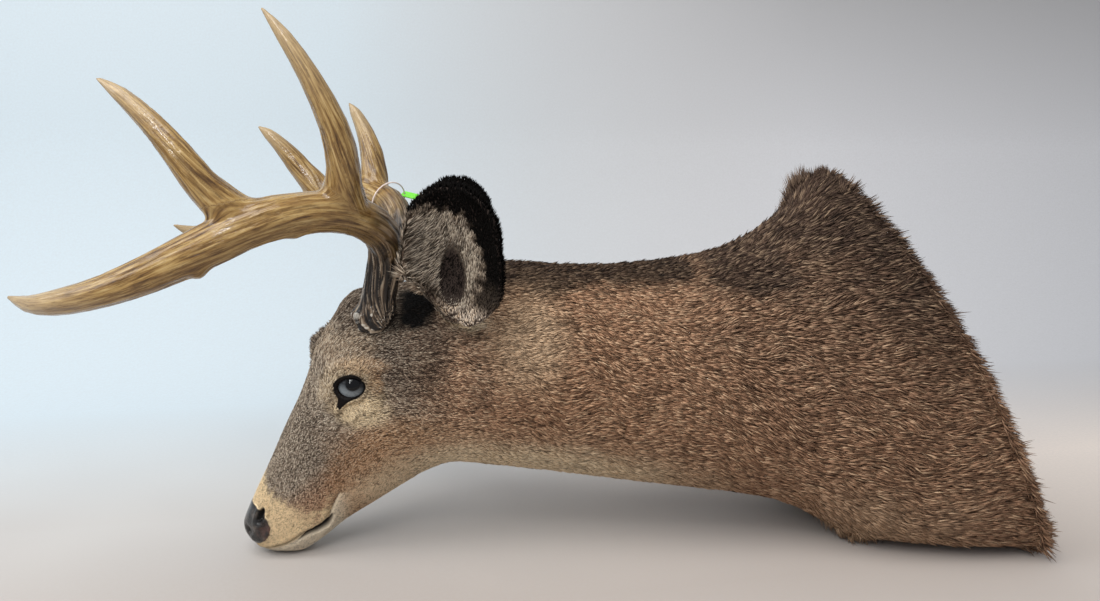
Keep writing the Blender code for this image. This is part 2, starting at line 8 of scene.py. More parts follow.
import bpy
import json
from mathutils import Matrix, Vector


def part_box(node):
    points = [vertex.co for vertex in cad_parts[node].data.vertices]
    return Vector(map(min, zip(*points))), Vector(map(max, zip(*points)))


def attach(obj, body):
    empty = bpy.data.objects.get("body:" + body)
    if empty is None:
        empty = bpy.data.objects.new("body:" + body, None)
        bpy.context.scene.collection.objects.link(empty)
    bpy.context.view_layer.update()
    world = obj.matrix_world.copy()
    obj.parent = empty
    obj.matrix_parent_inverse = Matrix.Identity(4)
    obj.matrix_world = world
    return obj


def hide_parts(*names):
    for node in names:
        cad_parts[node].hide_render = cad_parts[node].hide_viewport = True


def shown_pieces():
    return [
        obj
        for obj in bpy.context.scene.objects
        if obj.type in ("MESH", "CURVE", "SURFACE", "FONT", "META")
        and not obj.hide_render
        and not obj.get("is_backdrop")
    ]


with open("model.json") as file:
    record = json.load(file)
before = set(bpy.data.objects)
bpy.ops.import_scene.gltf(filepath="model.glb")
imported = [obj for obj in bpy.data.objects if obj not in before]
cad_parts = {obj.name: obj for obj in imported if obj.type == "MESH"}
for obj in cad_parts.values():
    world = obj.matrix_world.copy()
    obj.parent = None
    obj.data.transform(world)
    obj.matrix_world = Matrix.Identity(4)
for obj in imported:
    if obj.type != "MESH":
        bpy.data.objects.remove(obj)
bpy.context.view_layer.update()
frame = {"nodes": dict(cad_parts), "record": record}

# %% Modules
import json
import math
from types import SimpleNamespace

import bmesh
import bpy
import numpy as np
from mathutils import Matrix, Vector, noise
from mathutils.bvhtree import BVHTree

MM = 0.001
UP = Vector((0.0, 0.0, 1.0))
SIDES = {"left": -1.0, "right": 1.0}


def linked(name, data):
    """A new object in the scene."""
    made = bpy.data.objects.new(name, data)
    bpy.context.scene.collection.objects.link(made)
    return made


def mesh_from(bm, name):
    """A smooth mesh from a bmesh, with its faces turned outwards."""
    bmesh.ops.recalc_face_normals(bm, faces=bm.faces)
    mesh = bpy.data.meshes.new(name)
    bm.to_mesh(mesh)
    bm.free()
    mesh.shade_smooth()
    return mesh


def dots(first, second):
    """The product of each row with the other's."""
    return np.einsum("ij,ij->i", first, second)


def norms(vectors):
    """The length of each row."""
    return np.linalg.norm(vectors, axis=1)


# %% [markdown]
# ## The camera and the light
# The mount lies on a table and is seen from the deer's left, a little from above, through a wide
# lens. A soft box hangs overhead, a window stands on the left, and a narrow strip picks out the
# lacquer on the antlers. Large lights make soft shadows, which fur needs, because a small hard
# light makes every hair a black line. The world is the bright room, which fills the shadows.

# %% The camera
scene = bpy.context.scene
CAMERA_PLACE = (-0.1783, -0.8562, 0.42)
CAMERA_HEADING = math.radians(11.0)  # to the right of +Y
CAMERA_TILT = math.radians(10.09)  # below the horizon
SENSOR_MM = 36.0
LENS_MM = 26.67

camera = linked("camera", bpy.data.cameras.new("camera"))
camera.data.sensor_width = SENSOR_MM
camera.data.lens = LENS_MM
camera.location = CAMERA_PLACE
camera.rotation_euler = (math.radians(90.0) - CAMERA_TILT, 0.0, -CAMERA_HEADING)
scene.camera = camera
print("camera at", CAMERA_PLACE, "with a lens of", LENS_MM, "mm")

# %% Lights and the room
LIGHTS = (  # name, place, aimed at, size, watts, colour
    ("soft_box", (-0.6, -0.8, 1.9), (0.0, 0.0, 0.2), (1.7, 1.3), 32.0, (1.0, 0.98, 0.95)),
    ("window", (-1.6, -0.2, 1.1), (-0.2, 0.2, 0.2), (0.9, 0.9), 8.0, (0.93, 0.97, 1.0)),
    ("strip", (-0.56, -1.04, 1.02), (-0.22, -0.05, 0.20), (0.07, 0.50), 4.5, (1.0, 1.0, 1.0)),
)
ROOM_COLOUR = (0.92, 0.95, 1.0, 1.0)
ROOM_STRENGTH = 0.47


def add_light(name, place, target, size, watts, colour):
    light = bpy.data.lights.new(name, "AREA")
    light.shape = "RECTANGLE"
    light.size, light.size_y = size
    light.energy = watts
    light.color = colour
    lamp = linked(name, light)
    lamp.location = place
    lamp.rotation_euler = (Vector(target) - Vector(place)).to_track_quat("-Z", "Y").to_euler()


for settings in LIGHTS:
    add_light(*settings)
world = bpy.data.worlds.new("room")
world.use_nodes = True
world.node_tree.nodes["Background"].inputs["Color"].default_value = ROOM_COLOUR
world.node_tree.nodes["Background"].inputs["Strength"].default_value = ROOM_STRENGTH
scene.world = world
scene.view_settings.view_transform = "Standard"
print("lights:", [settings[0] for settings in LIGHTS])

# %% [markdown]
# ## A small language for finishes
# Every finish is a shader built from nodes. Written out node by node that is long and hard to read,
# so one small class wraps a node's output and lets Python's own signs add the Math nodes. Any other
# node comes from one method, which takes its type, its settings and the values of its sockets.


# %% The finish helpers
class Wire:
    """One output of a node. Sums, products and powers of wires add their own Math nodes."""

    def __init__(self, finish, socket):
        self.finish, self.socket = finish, socket

    def maths(self, operation, first, second=0.0, clamp=False):
        settings = {"operation": operation, "use_clamp": clamp}
        return self.finish.node("Math", settings, {0: first, 1: second})

    def clamped(self):
        return self.maths("ADD", self, 0.0, clamp=True)

    def sign(operation, swapped=False):
        """The method behind one of Python's signs."""
        if swapped:
            return lambda self, other: self.maths(operation, other, self)
        return lambda self, other: self.maths(operation, self, other)

    __add__ = __radd__ = sign("ADD")
    __mul__ = __rmul__ = sign("MULTIPLY")
    __sub__, __rsub__ = sign("SUBTRACT"), sign("SUBTRACT", swapped=True)
    __truediv__, __pow__ = sign("DIVIDE"), sign("POWER")


class Finish:
    """A Principled material. Words give the shader's own constants, such as Roughness=0.4."""

    def __init__(self, name, **constants):
        self.material = bpy.data.materials.new(name)
        self.material.use_nodes = True
        self.tree = self.material.node_tree
        self.shader = self.tree.nodes["Principled BSDF"]
        for socket, value in constants.items():
            self.shader.inputs[socket.replace("_", " ")].default_value = value

    def node(self, kind, settings=None, values=None, out=0):
        """Add a node: first its settings, then its sockets' values or wires. Gives one output."""
        made = self.tree.nodes.new("ShaderNode" + kind)
        for key, value in (settings or {}).items():
            if key == "stops":
                self.set_stops(made.color_ramp, value)
            else:
                setattr(made, key, value)
        for key, value in (values or {}).items():
            socket = made.inputs[key] if isinstance(key, int) else self.find(made, key)
            if isinstance(value, Wire):
                self.tree.links.new(value.socket, socket)
            else:
                socket.default_value = value
        return Wire(self, made.outputs[out])

    @staticmethod
    def find(made, key):
        return next(s for s in made.inputs if key in (s.identifier, s.name) and s.enabled)

    @staticmethod
    def set_stops(ramp, stops):
        while len(ramp.elements) < len(stops):
            ramp.elements.new(1.0)
        for element, (place, colour) in zip(ramp.elements, stops):
            element.position = place
            element.color = (*colour, 1.0) if len(colour) == 3 else colour

    def place(self, scale=(1.0, 1.0, 1.0), source=None):
        """Object coordinates in metres, or another vector, times a scale."""
        vector = source or self.node("TexCoord", out="Object")
        return self.node("Mapping", None, {"Vector": vector, "Scale": scale})

    def attribute(self, name, out="Fac"):
        return self.node("Attribute", {"attribute_name": name}, out=out)

    def speckle(self, vector, scale=1.0, detail=3.0, roughness=0.55):
        values = {"Vector": vector, "Scale": scale, "Detail": detail, "Roughness": roughness}
        return self.node("TexNoise", {"noise_dimensions": "3D"}, values)

    def ramp(self, factor, stops):
        return self.node("ValToRGB", {"stops": stops}, {"Fac": factor})

    def blend(self, first, second, factor, mode="MIX"):
        settings = {"data_type": "RGBA", "blend_type": mode}
        values = {"Factor_Float": factor, "A_Color": first, "B_Color": second}
        return self.node("Mix", settings, values, out=2)

    def layers(self, colour, *layers):
        """A colour with others laid over it in turn, each given as its colour and its share."""
        for over, share in layers:
            colour = self.blend(colour, over, share)
        return colour

    def parts(self, vector):
        """The X, Y and Z of a vector, as three wires."""
        split = self.node("SeparateXYZ", None, {0: vector})
        return [Wire(self, split.socket.node.outputs[k]) for k in range(3)]

    def bump(self, height, distance, strength=1.0, under=None):
        values = {"Height": height, "Distance": distance, "Strength": strength}
        if under is not None:
            values["Normal"] = under
        return self.node("Bump", None, values)

    def feed(self, **wires):
        """Link what changes over the surface to the shader, and give the finished material."""
        for socket, wire in wires.items():
            self.tree.links.new(wire.socket, self.shader.inputs[socket.replace("_", " ")])
        return self.material


def rgb(red, green, blue):
    return (red, green, blue, 1.0)


# %% [markdown]
# ## The table
# A plain pale sheet curves up behind the mount, so that no corner shows. It isn't part of the object,
# so it is declared as stage. Light is painted into its colour: painted cool light by the window on
# the left, painted warm light on the right, and painted shade near the camera and high on the wall.

# %% The seamless sheet
SHEET_HALF_WIDTH = 3.5
SHEET_FRONT_Y = -1.6
SHEET_BEND_Y = 0.55
SHEET_BEND_RADIUS = 0.5
SHEET_TOP = 2.6
SHEET_BEND_STEPS = 24


def make_seamless_sheet():
    """Extrude an edge backwards over the table, round the bend and up the wall."""
    bm = bmesh.new()
    ends = [bm.verts.new((x, SHEET_FRONT_Y, 0.0)) for x in (-SHEET_HALF_WIDTH, SHEET_HALF_WIDTH)]
    edge = bm.edges.new(ends)
    route = [(SHEET_BEND_Y, 0.0)]
    for i in range(1, SHEET_BEND_STEPS + 1):
        turn = math.radians(90.0) * i / SHEET_BEND_STEPS
        route.append((SHEET_BEND_Y + SHEET_BEND_RADIUS * math.sin(turn),
                      SHEET_BEND_RADIUS * (1.0 - math.cos(turn))))
    route.append((SHEET_BEND_Y + SHEET_BEND_RADIUS, SHEET_TOP))
    for y, z in route:
        moved = bmesh.ops.extrude_edge_only(bm, edges=[edge])["geom"]
        for vert in (item for item in moved if isinstance(item, bmesh.types.BMVert)):
            vert.co.y, vert.co.z = y, z
        edge = next(item for item in moved if isinstance(item, bmesh.types.BMEdge))
    return linked("seamless_sheet", mesh_from(bm, "seamless_sheet"))


sheet = make_seamless_sheet()
sheet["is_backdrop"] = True
print("sheet faces:", len(sheet.data.polygons))

# %% The paper's finish
paper = Finish("pale_sheet", Roughness=0.9)
cloud = paper.speckle(paper.place(), scale=2.2, detail=2.0)
fleck = paper.speckle(paper.place(), scale=240.0, detail=2.0)
place_x, place_y, place_z = paper.parts(paper.node("TexCoord", out="Object"))
rightwards = (place_x * 0.9 + 0.25).clamped()
far = (place_y * 2.2 + place_z * 1.2 - 0.25).clamped()
near = (place_y * -4.0 + 0.40).clamped()
high = (place_z * 2.5 - 1.1).clamped()
# The layers over the cloud are painted light: warm light on the floor's right, cool light on the wall's
# left, grey on the wall's right, and painted shade near the camera and high on the right. The flecks are
# the paper's own.
paper_colour_with_painted_light = paper.layers(
    paper.ramp(cloud, [(0.35, (0.48, 0.455, 0.435)), (0.65, (0.53, 0.51, 0.49))]),
    (rgb(0.93, 0.825, 0.745), rightwards * (1.0 - far)),
    (rgb(0.64, 0.73, 0.785), far * (1.0 - rightwards)),
    (rgb(0.77, 0.775, 0.80), far * rightwards),
    (rgb(0.42, 0.36, 0.32), near * (0.85 - 0.35 * rightwards)),
    (rgb(0.46, 0.46, 0.47), high * rightwards),
    (rgb(0.50, 0.49, 0.48), fleck * 0.35))
paper.feed(Base_Color=paper_colour_with_painted_light, Normal=paper.bump(fleck, 0.4 * MM, 0.25))
sheet.data.materials.append(paper.material)

# %% [markdown]
# ## The lines that everything is measured from
# A cape has no straight edges, so its markings and the lie of its hair are measured along the
# animal: forward from between the eyes on the head, and along a line from the nose through the
# middle of the neck to the board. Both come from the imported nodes' own boxes.


# %% The head's own axes
def middle(node):
    low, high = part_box(node)
    return (low + high) / 2


eye_centres = {side: middle("eye_" + side) for side in SIDES}
EYE_RADIUS = (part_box("eye_left")[1].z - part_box("eye_left")[0].z) / 2
HEAD_MIDDLE = (eye_centres["left"] + eye_centres["right"]) / 2
ACROSS = (eye_centres["right"] - eye_centres["left"]).normalized()
FORWARD = UP.cross(ACROSS)
HEAD_AXES = np.array([FORWARD, ACROSS, UP])
print("eyes", round((eye_centres["right"] - eye_centres["left"]).length / MM), "mm apart, head turned",
      round(math.degrees(math.atan2(ACROSS.x, ACROSS.y)), 1), "degrees")


def in_head(points):
    """Forward, across and up of each point from the middle between the eyes."""
    return ((points - np.array(HEAD_MIDDLE)) @ HEAD_AXES.T).T


def head_point(forward, across, up):
    return HEAD_MIDDLE + FORWARD * forward + ACROSS * across + UP * up


# %% The body line
LINE_PAST_WALL = 0.12  # the line runs on behind the board
hide_mount = frame["record"]["mounts"][0]
WALL_POINT = np.array(hide_mount["pos_m"])
WALL_OUT = np.array(hide_mount["axis"])
body_line = np.array([middle("nose"), HEAD_MIDDLE, middle("neck_upper"), middle("neck_lower"),
                      middle("shoulders"),
                      middle("wall_board") + Vector(WALL_OUT) * LINE_PAST_WALL])
line_lengths = norms(np.diff(body_line, axis=0))
line_starts = np.concatenate([[0.0], np.cumsum(line_lengths)])
print("body line:", [round(x, 3) for x in line_starts])


def along_body(points):
    """For each point: the distance from the nose along the body line, how near the top it is (1 on
    top, 0 at the side, -1 underneath), its distance to the deer's right, and the way back."""
    best = np.full(len(points), 1e9)
    place = np.zeros(len(points))
    foot = np.zeros((len(points), 3))
    for i, length in enumerate(line_lengths):
        way = (body_line[i + 1] - body_line[i]) / length
        run = (points - body_line[i]) @ way
        low = 0.0 if i else -1.0
        high = length if i < len(line_lengths) - 1 else 1.0
        run = np.clip(run, low, high)
        near = body_line[i] + run[:, None] * way
        gap = norms(points - near)
        closer = gap < best
        best[closer] = gap[closer]
        place[closer] = line_starts[i] + run[closer]
        foot[closer] = near[closer]
    middles = (line_starts[1:] + line_starts[:-1]) / 2
    ways = np.diff(body_line, axis=0) / line_lengths[:, None]
    back = np.stack([np.interp(place, middles, ways[:, k]) for k in range(3)], axis=1)
    back /= norms(back)[:, None]
    rise = np.array(UP) - back * back[:, 2:3]
    rise /= norms(rise)[:, None]
    outward = points - foot
    distance = np.maximum(norms(outward), 1e-6)
    top = dots(outward, rise) / distance
    rightward = dots(outward, np.cross(rise, back))
    return place, np.clip(top, -1.0, 1.0), rightward, back


# %% [markdown]
# ## Soft edges
# Nothing on an animal starts at a sharp line. A soft step, a soft hump and a cheap ripple shape
# everything that follows, markings and modelling alike.

# %% Steps, humps and ripples
def ease(values, low, high):
    """0 at low and 1 at high, with a smooth start and end. low may be the larger one."""
    t = np.clip((values - low) / (high - low), 0.0, 1.0)
    return t * t * (3.0 - 2.0 * t)


def reading(table, places):
    """The value that a table of pairs gives for each place."""
    table = np.array(table)
    return np.interp(places, table[:, 0], table[:, 1])


def hump(values, centre, width):
    return np.exp(-((values - centre) / width) ** 2)


def ripple(points, size, seed):
    """Cheap smooth noise between about -1 and 1, with bumps about size metres across."""
    rng = np.random.default_rng(seed)
    ways = rng.normal(size=(9, 3)) / size * 2.2
    phases = rng.uniform(0.0, math.tau, 9)
    return np.sin(points @ ways.T + phases).sum(axis=1) / 3.0


# %% [markdown]
# ## The markings
# A whitetail in autumn coat has a grizzled grey-brown face, a cream muzzle and eye ring, a tan neck
# whose hairs are dark with a light band near the tip, a near-black stripe down the back of the neck,
# and dark shoulders. Skin and hair have to agree, so one function works out how much of each
# marking there is at a point, and both finishes mix their colours from the same shares.

# %% Lines of the face
MUZZLE_BOUNDARY = (
    (0.026, -0.126), (0.030, -0.128), (0.039, -0.138), (0.045, -0.142), (0.056, -0.1395),
    (0.067, -0.134), (0.079, -0.129), (0.085, -0.1205), (0.091, -0.114), (0.098, -0.107),
    (0.120, -0.095))
MOUTH_LINE = (
    (0.1300, -0.1900), (0.1000, -0.1840), (0.0772, -0.1757), (0.0683, -0.1705), (0.0579, -0.1635),
    (0.0490, -0.1600), (0.0400, -0.1550), (0.0330, -0.1480), (0.0285, -0.1360), (0.0238, -0.1253),
    (0.0195, -0.1169))
PAD_CENTRE, PAD_RADII = (0.1200, -0.1555), (0.0268, 0.0232)


def oval(forward, up, centre, radii):
    """0 at the centre of an oval in the side view, 1 on its edge."""
    return np.hypot((forward - centre[0]) / radii[0], (up - centre[1]) / radii[1])


def nose_pad(forward, up):
    """Below 1 on the bare nose pad."""
    return oval(forward, up, PAD_CENTRE, PAD_RADII)


def mouth_distance(forward, up):
    """Distance from the mouth's line in the side view, and how far back along it, 0 to 1."""
    line = np.array(MOUTH_LINE)
    best = np.full(len(forward), 1e9)
    back = np.zeros(len(forward))
    for i in range(len(line) - 1):
        step = line[i + 1] - line[i]
        t = ((forward - line[i, 0]) * step[0] + (up - line[i, 1]) * step[1]) / (step @ step)
        t = np.clip(t, 0.0, 1.0)
        gap = np.hypot(forward - line[i, 0] - t * step[0], up - line[i, 1] - t * step[1])
        nearer = gap < best
        best[nearer] = gap[nearer]
        back[nearer] = (i + t[nearer]) / (len(line) - 1)
    return best, back


def below_mouth(forward, up):
    """How far a point is below the mouth's line, in metres."""
    return reading(MOUTH_LINE[::-1], forward) - up


# %% [markdown]
# ## Areas of the coat
# An area is a soft mask over the animal, such as the mane or the ring round the eye. Most areas of
# the head are ovals in its side view, so they stand in a table: the middle and the radii, where the
# edge starts and where the area is full, and how much of three ripples makes the edge ragged.


# %% Measures of a point
def measures(points):
    """What the areas are worked out from: places on the head and the body, and three ripples."""
    forward, across, up = in_head(points)
    run, top, rightward, _ = along_body(points)
    side = np.abs(across)
    return SimpleNamespace(
        points=points, forward=forward, up=up, side=side, beside=ease(side, 0.018, 0.032),
        run=run, top=top, rightward=rightward, coarse=ripple(points, 0.030, 1),
        middling=ripple(points, 0.012, 2), fine=ripple(points, 0.0026, 7))


# %% Ovals of the head
SIDE_OVALS = {  # these leave the middle of the face free
    "temple": ((-0.058, 0.026), (0.052, 0.038), (1.20, 0.45), (0.15, 0, 0)),
    "cheek": ((-0.050, -0.062), (0.085, 0.036), (1.25, 0.50), (0.10, 0, 0)),
    "over_eye": ((-0.014, 0.024), (0.022, 0.009), (1.35, 0.50), (0, 0, 0)),
    "behind_eye": ((-0.024, 0.006), (0.007, 0.011), (1.40, 0.50), (0, 0, 0)),
    "eye_ring": ((0.001, -0.001), (0.035, 0.032), (1.15, 0.60), (0.08, 0.12, 0.0)),
    "under_eye": ((-0.010, -0.022), (0.028, 0.020), (1.20, 0.45), (0, 0.10, 0)),
    "forehead": ((0.006, 0.038), (0.034, 0.022), (1.20, 0.50), (0, 0.15, 0)),
    # the oval behind the antler: black hair, and painted shade between the antler's base and the ear
    "behind_antler_black_hair_and_shade": ((-0.066, 0.083), (0.022, 0.024), (1.15, 0.70), (0, 0.10, 0)),
    "round_burr": ((-0.040, 0.066), (0.034, 0.010), (1.20, 0.60), (0, 0.10, 0)),
}
WHOLE_OVALS = {
    "ear_root": ((-0.118, 0.064), (0.019, 0.011), (1.30, 0.40), (0, 0.20, 0.15)),
    "behind_ear": ((-0.172, 0.048), (0.045, 0.055), (1.25, 0.30), (0, 0, 0)),
    "muzzle_band": ((0.104, -0.118), (0.020, 0.017), (1.30, 0.60), (0, 0, 0)),
}


def ovals(at, table):
    """Each area of a table, 1 inside it and 0 outside."""
    made = {}
    for name, (centre, radii, (start, full), (coarse, middling, fine)) in table.items():
        ragged = at.coarse * coarse + at.middling * middling + at.fine * fine
        made[name] = ease(oval(at.forward, at.up, centre, radii) + ragged, start, full)
    return made


# %% Other areas of the head
def head_areas(at):
    """Areas of the head, each 0 to 1."""
    forward, up, side, top = at.forward, at.up, at.side, at.top
    areas = ovals(at, WHOLE_OVALS)
    for name, area in ovals(at, SIDE_OVALS).items():
        areas[name] = area * at.beside
    areas["ear_root"] *= ease(side, 0.018, 0.030)
    areas["grizzled"] = ease(at.run + at.coarse * 0.02 - top * 0.03, 0.36, 0.19) \
        * ease(up, -0.165, -0.110) * ease(top + at.run * 1.2, -0.75, -0.20) \
        * (1.0 - 0.55 * areas["cheek"])
    areas["crown"] = ease(up + at.middling * 0.004, 0.046, 0.074) * ease(forward, -0.150, -0.110)
    areas["bridge"] = ease(side, 0.020, 0.006) * ease(forward, 0.0, 0.030) * ease(up, -0.115, -0.085)
    areas["brow"] = ease(oval(side, up, (0.0, 0.040), (0.024, 0.016)), 1.3, 0.6) \
        * ease(forward, -0.02, 0.01)
    areas["jaw_line"] = ease(top, -0.30, -0.60) * ease(forward, 0.045, 0.020) \
        * ease(at.run, 0.30, 0.22)
    edge = reading(MUZZLE_BOUNDARY, forward)
    ragged = at.middling * 0.0025 + at.coarse * 0.002 + at.fine * 0.006
    areas["muzzle"] = ease(up - edge + ragged, 0.010, -0.013) * ease(forward, 0.020, 0.032)
    areas["muzzle_band"] *= areas["muzzle"]
    areas["muzzle_rear"] = areas["muzzle"] * ease(forward, 0.10, 0.06)
    areas["chin"] = ease(below_mouth(forward, up), 0.000, 0.003) * ease(forward, 0.004, 0.030)
    areas["ear_line"] = ease(np.abs(up - 0.062 - 0.73 * (forward + 0.118)), 0.013, 0.004) \
        * ease(forward, -0.125, -0.110) * ease(forward, -0.055, -0.070) * ease(side, 0.035, 0.055)
    areas["pad"] = ease(nose_pad(forward, up), 1.03, 0.97)
    return areas


# %% Areas of the neck and shoulders
NAPE_SPOT = (0.178, 0.297), (0.045, 0.024)  # x and z of its middle, and its radii


def body_areas(at):
    """Areas of the neck and shoulders, each 0 to 1."""
    run, top = at.run, at.top
    on_head = ease(run, 0.34, 0.24)
    in_front = ease(run, 0.60, 0.40)
    edge = 0.040 + 0.04 * ease(run, 0.56, 0.74) + at.middling * 0.003 + at.coarse * 0.004
    fade = 0.011 + 0.026 * ease(run, 0.52, 0.62)
    mane = ease(np.abs(at.rightward), edge + fade, edge - fade) * ease(top, 0.2, 0.6)
    mane = mane * ease(run, 0.27, 0.34) * (1.0 - 0.40 * hump(run, 0.560, 0.035))
    mane = mane * (1.0 - 0.55 * ease(run, 0.52, 0.66))
    nape = oval(at.points[:, 0], at.points[:, 2], *NAPE_SPOT) + at.coarse * 0.15
    return {
        "mane": mane,
        "black_mane": mane * ease(run, 0.62, 0.50),
        "withers": ease(run, 0.47, 0.80) * ease(top + at.coarse * 0.10, -0.55, 0.75),
        "nape_spot": ease(nape, 1.2, 0.4),
        "rear": ease(run, 0.46, 0.75),
        "streaks": np.clip(at.middling * 0.5, 0.0, 1.0) * ease(run, 0.30, 0.45),
        "mid_neck": hump(run, 0.42, 0.13),
        # the jaw's pale is partly its own pale hair and partly painted light: the floor's bounce on the
        # underside
        "jaw": ease(top + at.fine * 0.03 + on_head * 0.13, -0.60, -0.92) * ease(run, 0.05, 0.12)
        * in_front,
        "throat": ease(top, -0.35, -0.80) * in_front * (1.0 - on_head),
        "brisket": hump(run, 0.70, 0.05) * ease(top, -0.55, -0.80),
    }


# %% [markdown]
# ## From areas to colours
# A second table says how strongly each area takes each marking. The shares are stored on the mesh
# as attributes, and a finish lays the colours over the tan ground in the order of MARKINGS.

# %% Shares of each marking
MARKINGS = ("grey", "dark", "warm", "pale", "cream", "white", "black")
SHARES = {
    "grey": {"grizzled": 1.0},
    "dark": {"mane": 1.0, "withers": 0.74, "nape_spot": 0.75, "rear": 0.14, "temple": 0.62,
             "crown": 0.66, "bridge": 0.25, "brow": 0.65, "streaks": 0.25},
    "warm": {"behind_ear": 0.20, "over_eye": 0.42, "behind_eye": 0.50, "jaw_line": 0.45,
             "cheek": 0.16, "mid_neck": 0.08},
    # the jaw's pale, cream and white are partly painted light, the floor's bounce on the underside
    "pale": {"jaw": 0.95, "throat": 0.34, "cheek": 0.20, "brisket": 0.50, "behind_ear": 0.85,
             "forehead": 0.34, "over_eye": 0.50, "muzzle_rear": 0.35},
    "cream": {"muzzle": 0.96, "muzzle_band": 0.20, "chin": 0.80, "eye_ring": 0.34,
              "under_eye": 0.86, "ear_root": 0.80, "ear_line": 0.45, "jaw": 0.75},
    # the black behind the antler is partly painted shade between its base and the ear
    "black": {"pad": 1.0, "behind_antler_black_hair_and_shade": 0.99, "round_burr": 0.75, "black_mane": 0.42},
    "white": {"chin": 0.65, "ear_root": 0.40, "jaw": 0.22, "under_eye": 0.15},
}


def markings(points):
    """The share of each marking at each point."""
    at = measures(points)
    areas = head_areas(at) | body_areas(at)
    share = {}
    for name, strengths in SHARES.items():
        total = sum(areas[area] * strength for area, strength in strengths.items())
        share[name] = np.clip(total, 0.0, 1.0)
    share["cream"] *= 1.0 - areas["behind_antler_black_hair_and_shade"]
    return share


print("markings:", ", ".join(MARKINGS))

# %% The coat's colours
COLOURS = {
    "tan": rgb(0.500, 0.288, 0.175), "grey": rgb(0.345, 0.270, 0.200),
    "dark": rgb(0.100, 0.062, 0.044), "warm": rgb(0.66, 0.35, 0.155),
    "pale": rgb(0.76, 0.555, 0.365), "cream": rgb(0.98, 0.77, 0.48),
    "white": rgb(0.98, 0.90, 0.76), "black": rgb(0.004, 0.0034, 0.0030),
}
LIGHT_HAIR = {"tan": rgb(0.82, 0.59, 0.38), "grey": rgb(0.76, 0.66, 0.52)}
WASHED = rgb(0.74, 0.68, 0.58)  # hair inside the ears is paler and greyer


def mixed_coat_colour(finish, lighter=None, darker=None, wash=0.0):
    """The coat's colour from the shares stored on the mesh, with some locks lighter or darker."""
    layers = [(COLOURS[name], finish.attribute(name)) for name in MARKINGS[:-1]]
    colour = finish.layers(COLOURS["tan"], *layers)
    if wash > 0.0:
        colour = finish.blend(colour, WASHED, wash)
    if lighter is not None:
        tint = finish.blend(LIGHT_HAIR["tan"], LIGHT_HAIR["grey"], finish.attribute("grey"))
        shown = (1.0 - 0.55 * finish.attribute("dark")) * (1.0 - 0.8 * finish.attribute("cream"))
        colour = finish.blend(colour, tint, lighter * shown)
        colour = finish.blend(colour, darker, 1.0, mode="MULTIPLY")
    return finish.blend(colour, COLOURS["black"], finish.attribute("black"))


# %% [markdown]
# ## The skin
# The foam form gives a mount its shape, and the hide follows it without a seam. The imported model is
# parted into head, neck and shoulders, so their surfaces are joined, run through a voxel remesh,
# which melts them into one skin, and smoothed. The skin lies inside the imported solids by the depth
# of the coat. The head is then worked as clay is: soft pushes along the surface make the lips, the
# nostrils and the folds by the eye.

# %% Mesh helpers
def new_piece(name, mesh, finish):
    piece = linked(name, mesh)
    mesh.materials.append(finish)
    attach(piece, "root")
    return piece


def applied(obj):
    """The mesh that an object's modifiers give, with the object itself removed."""
    graph = bpy.context.evaluated_depsgraph_get()
    mesh = bpy.data.meshes.new_from_object(obj.evaluated_get(graph))
    bpy.data.objects.remove(obj)
    return mesh


def remeshed(bm, voxel, smooth_rounds):
    """Melt overlapping closed shells into one, and smooth it."""
    mesh = bpy.data.meshes.new("melt")
    bm.to_mesh(mesh)
    bm.free()
    obj = linked("melt", mesh)
    melt = obj.modifiers.new("melt", "REMESH")
    melt.mode = "VOXEL"
    melt.voxel_size = voxel
    smooth = obj.modifiers.new("smooth", "SMOOTH")
    smooth.iterations = smooth_rounds
    return applied(obj)


def vectors_of(collection, name):
    """One vector of each item, as an array of rows."""
    values = np.empty(len(collection) * 3, np.float32)
    collection.foreach_get(name, values)
    return values.reshape(-1, 3).astype(float)


def points_of(mesh):
    return vectors_of(mesh.vertices, "co")


def normals_of(mesh):
    return vectors_of(mesh.vertex_normals, "vector")


def set_points(mesh, points):
    mesh.vertices.foreach_set("co", points.astype(np.float32).ravel())
    mesh.update()


def store(mesh, name, values):
    attribute = mesh.attributes.new(name, "FLOAT", "POINT")
    attribute.data.foreach_set("value", np.asarray(values, np.float32))


def store_shares(mesh, share):
    for name, values in share.items():
        store(mesh, name, values)


def store_vectors(mesh, name, vectors):
    attribute = mesh.attributes.new(name, "FLOAT_VECTOR", "POINT")
    attribute.data.foreach_set("vector", vectors.astype(np.float32).ravel())


def relax(mesh, weight, rounds):
    """Move each point part of the way to the middle of its neighbours, as a smoothing tool does."""
    edges = np.empty(len(mesh.edges) * 2, np.int32)
    mesh.edges.foreach_get("vertices", edges)
    edges = edges.reshape(-1, 2)
    ends = np.concatenate([edges[:, 0], edges[:, 1]])
    others = np.concatenate([edges[:, 1], edges[:, 0]])
    points = points_of(mesh)
    counts = np.maximum(np.bincount(ends, minlength=len(points)), 1)
    for _ in range(rounds):
        sums = [np.bincount(ends, points[others, k], len(points)) for k in range(3)]
        middles = np.stack(sums, axis=1)
        points += (middles / counts[:, None] - points) * (weight * 0.6)[:, None]
    set_points(mesh, points)


def tree_of(*names):
    """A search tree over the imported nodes' surfaces."""
    bm = bmesh.new()
    for name in names:
        bm.from_mesh(frame["nodes"][name].data)
    tree = BVHTree.FromBMesh(bm)
    bm.free()
    return tree


# %% [markdown]
# ## Where the eyes and their lids are
# The opening between the lids and the hair line round the bare rims are rounded almonds about the
# eye's axis. They come before the skin, because the skin is carved to fit them.

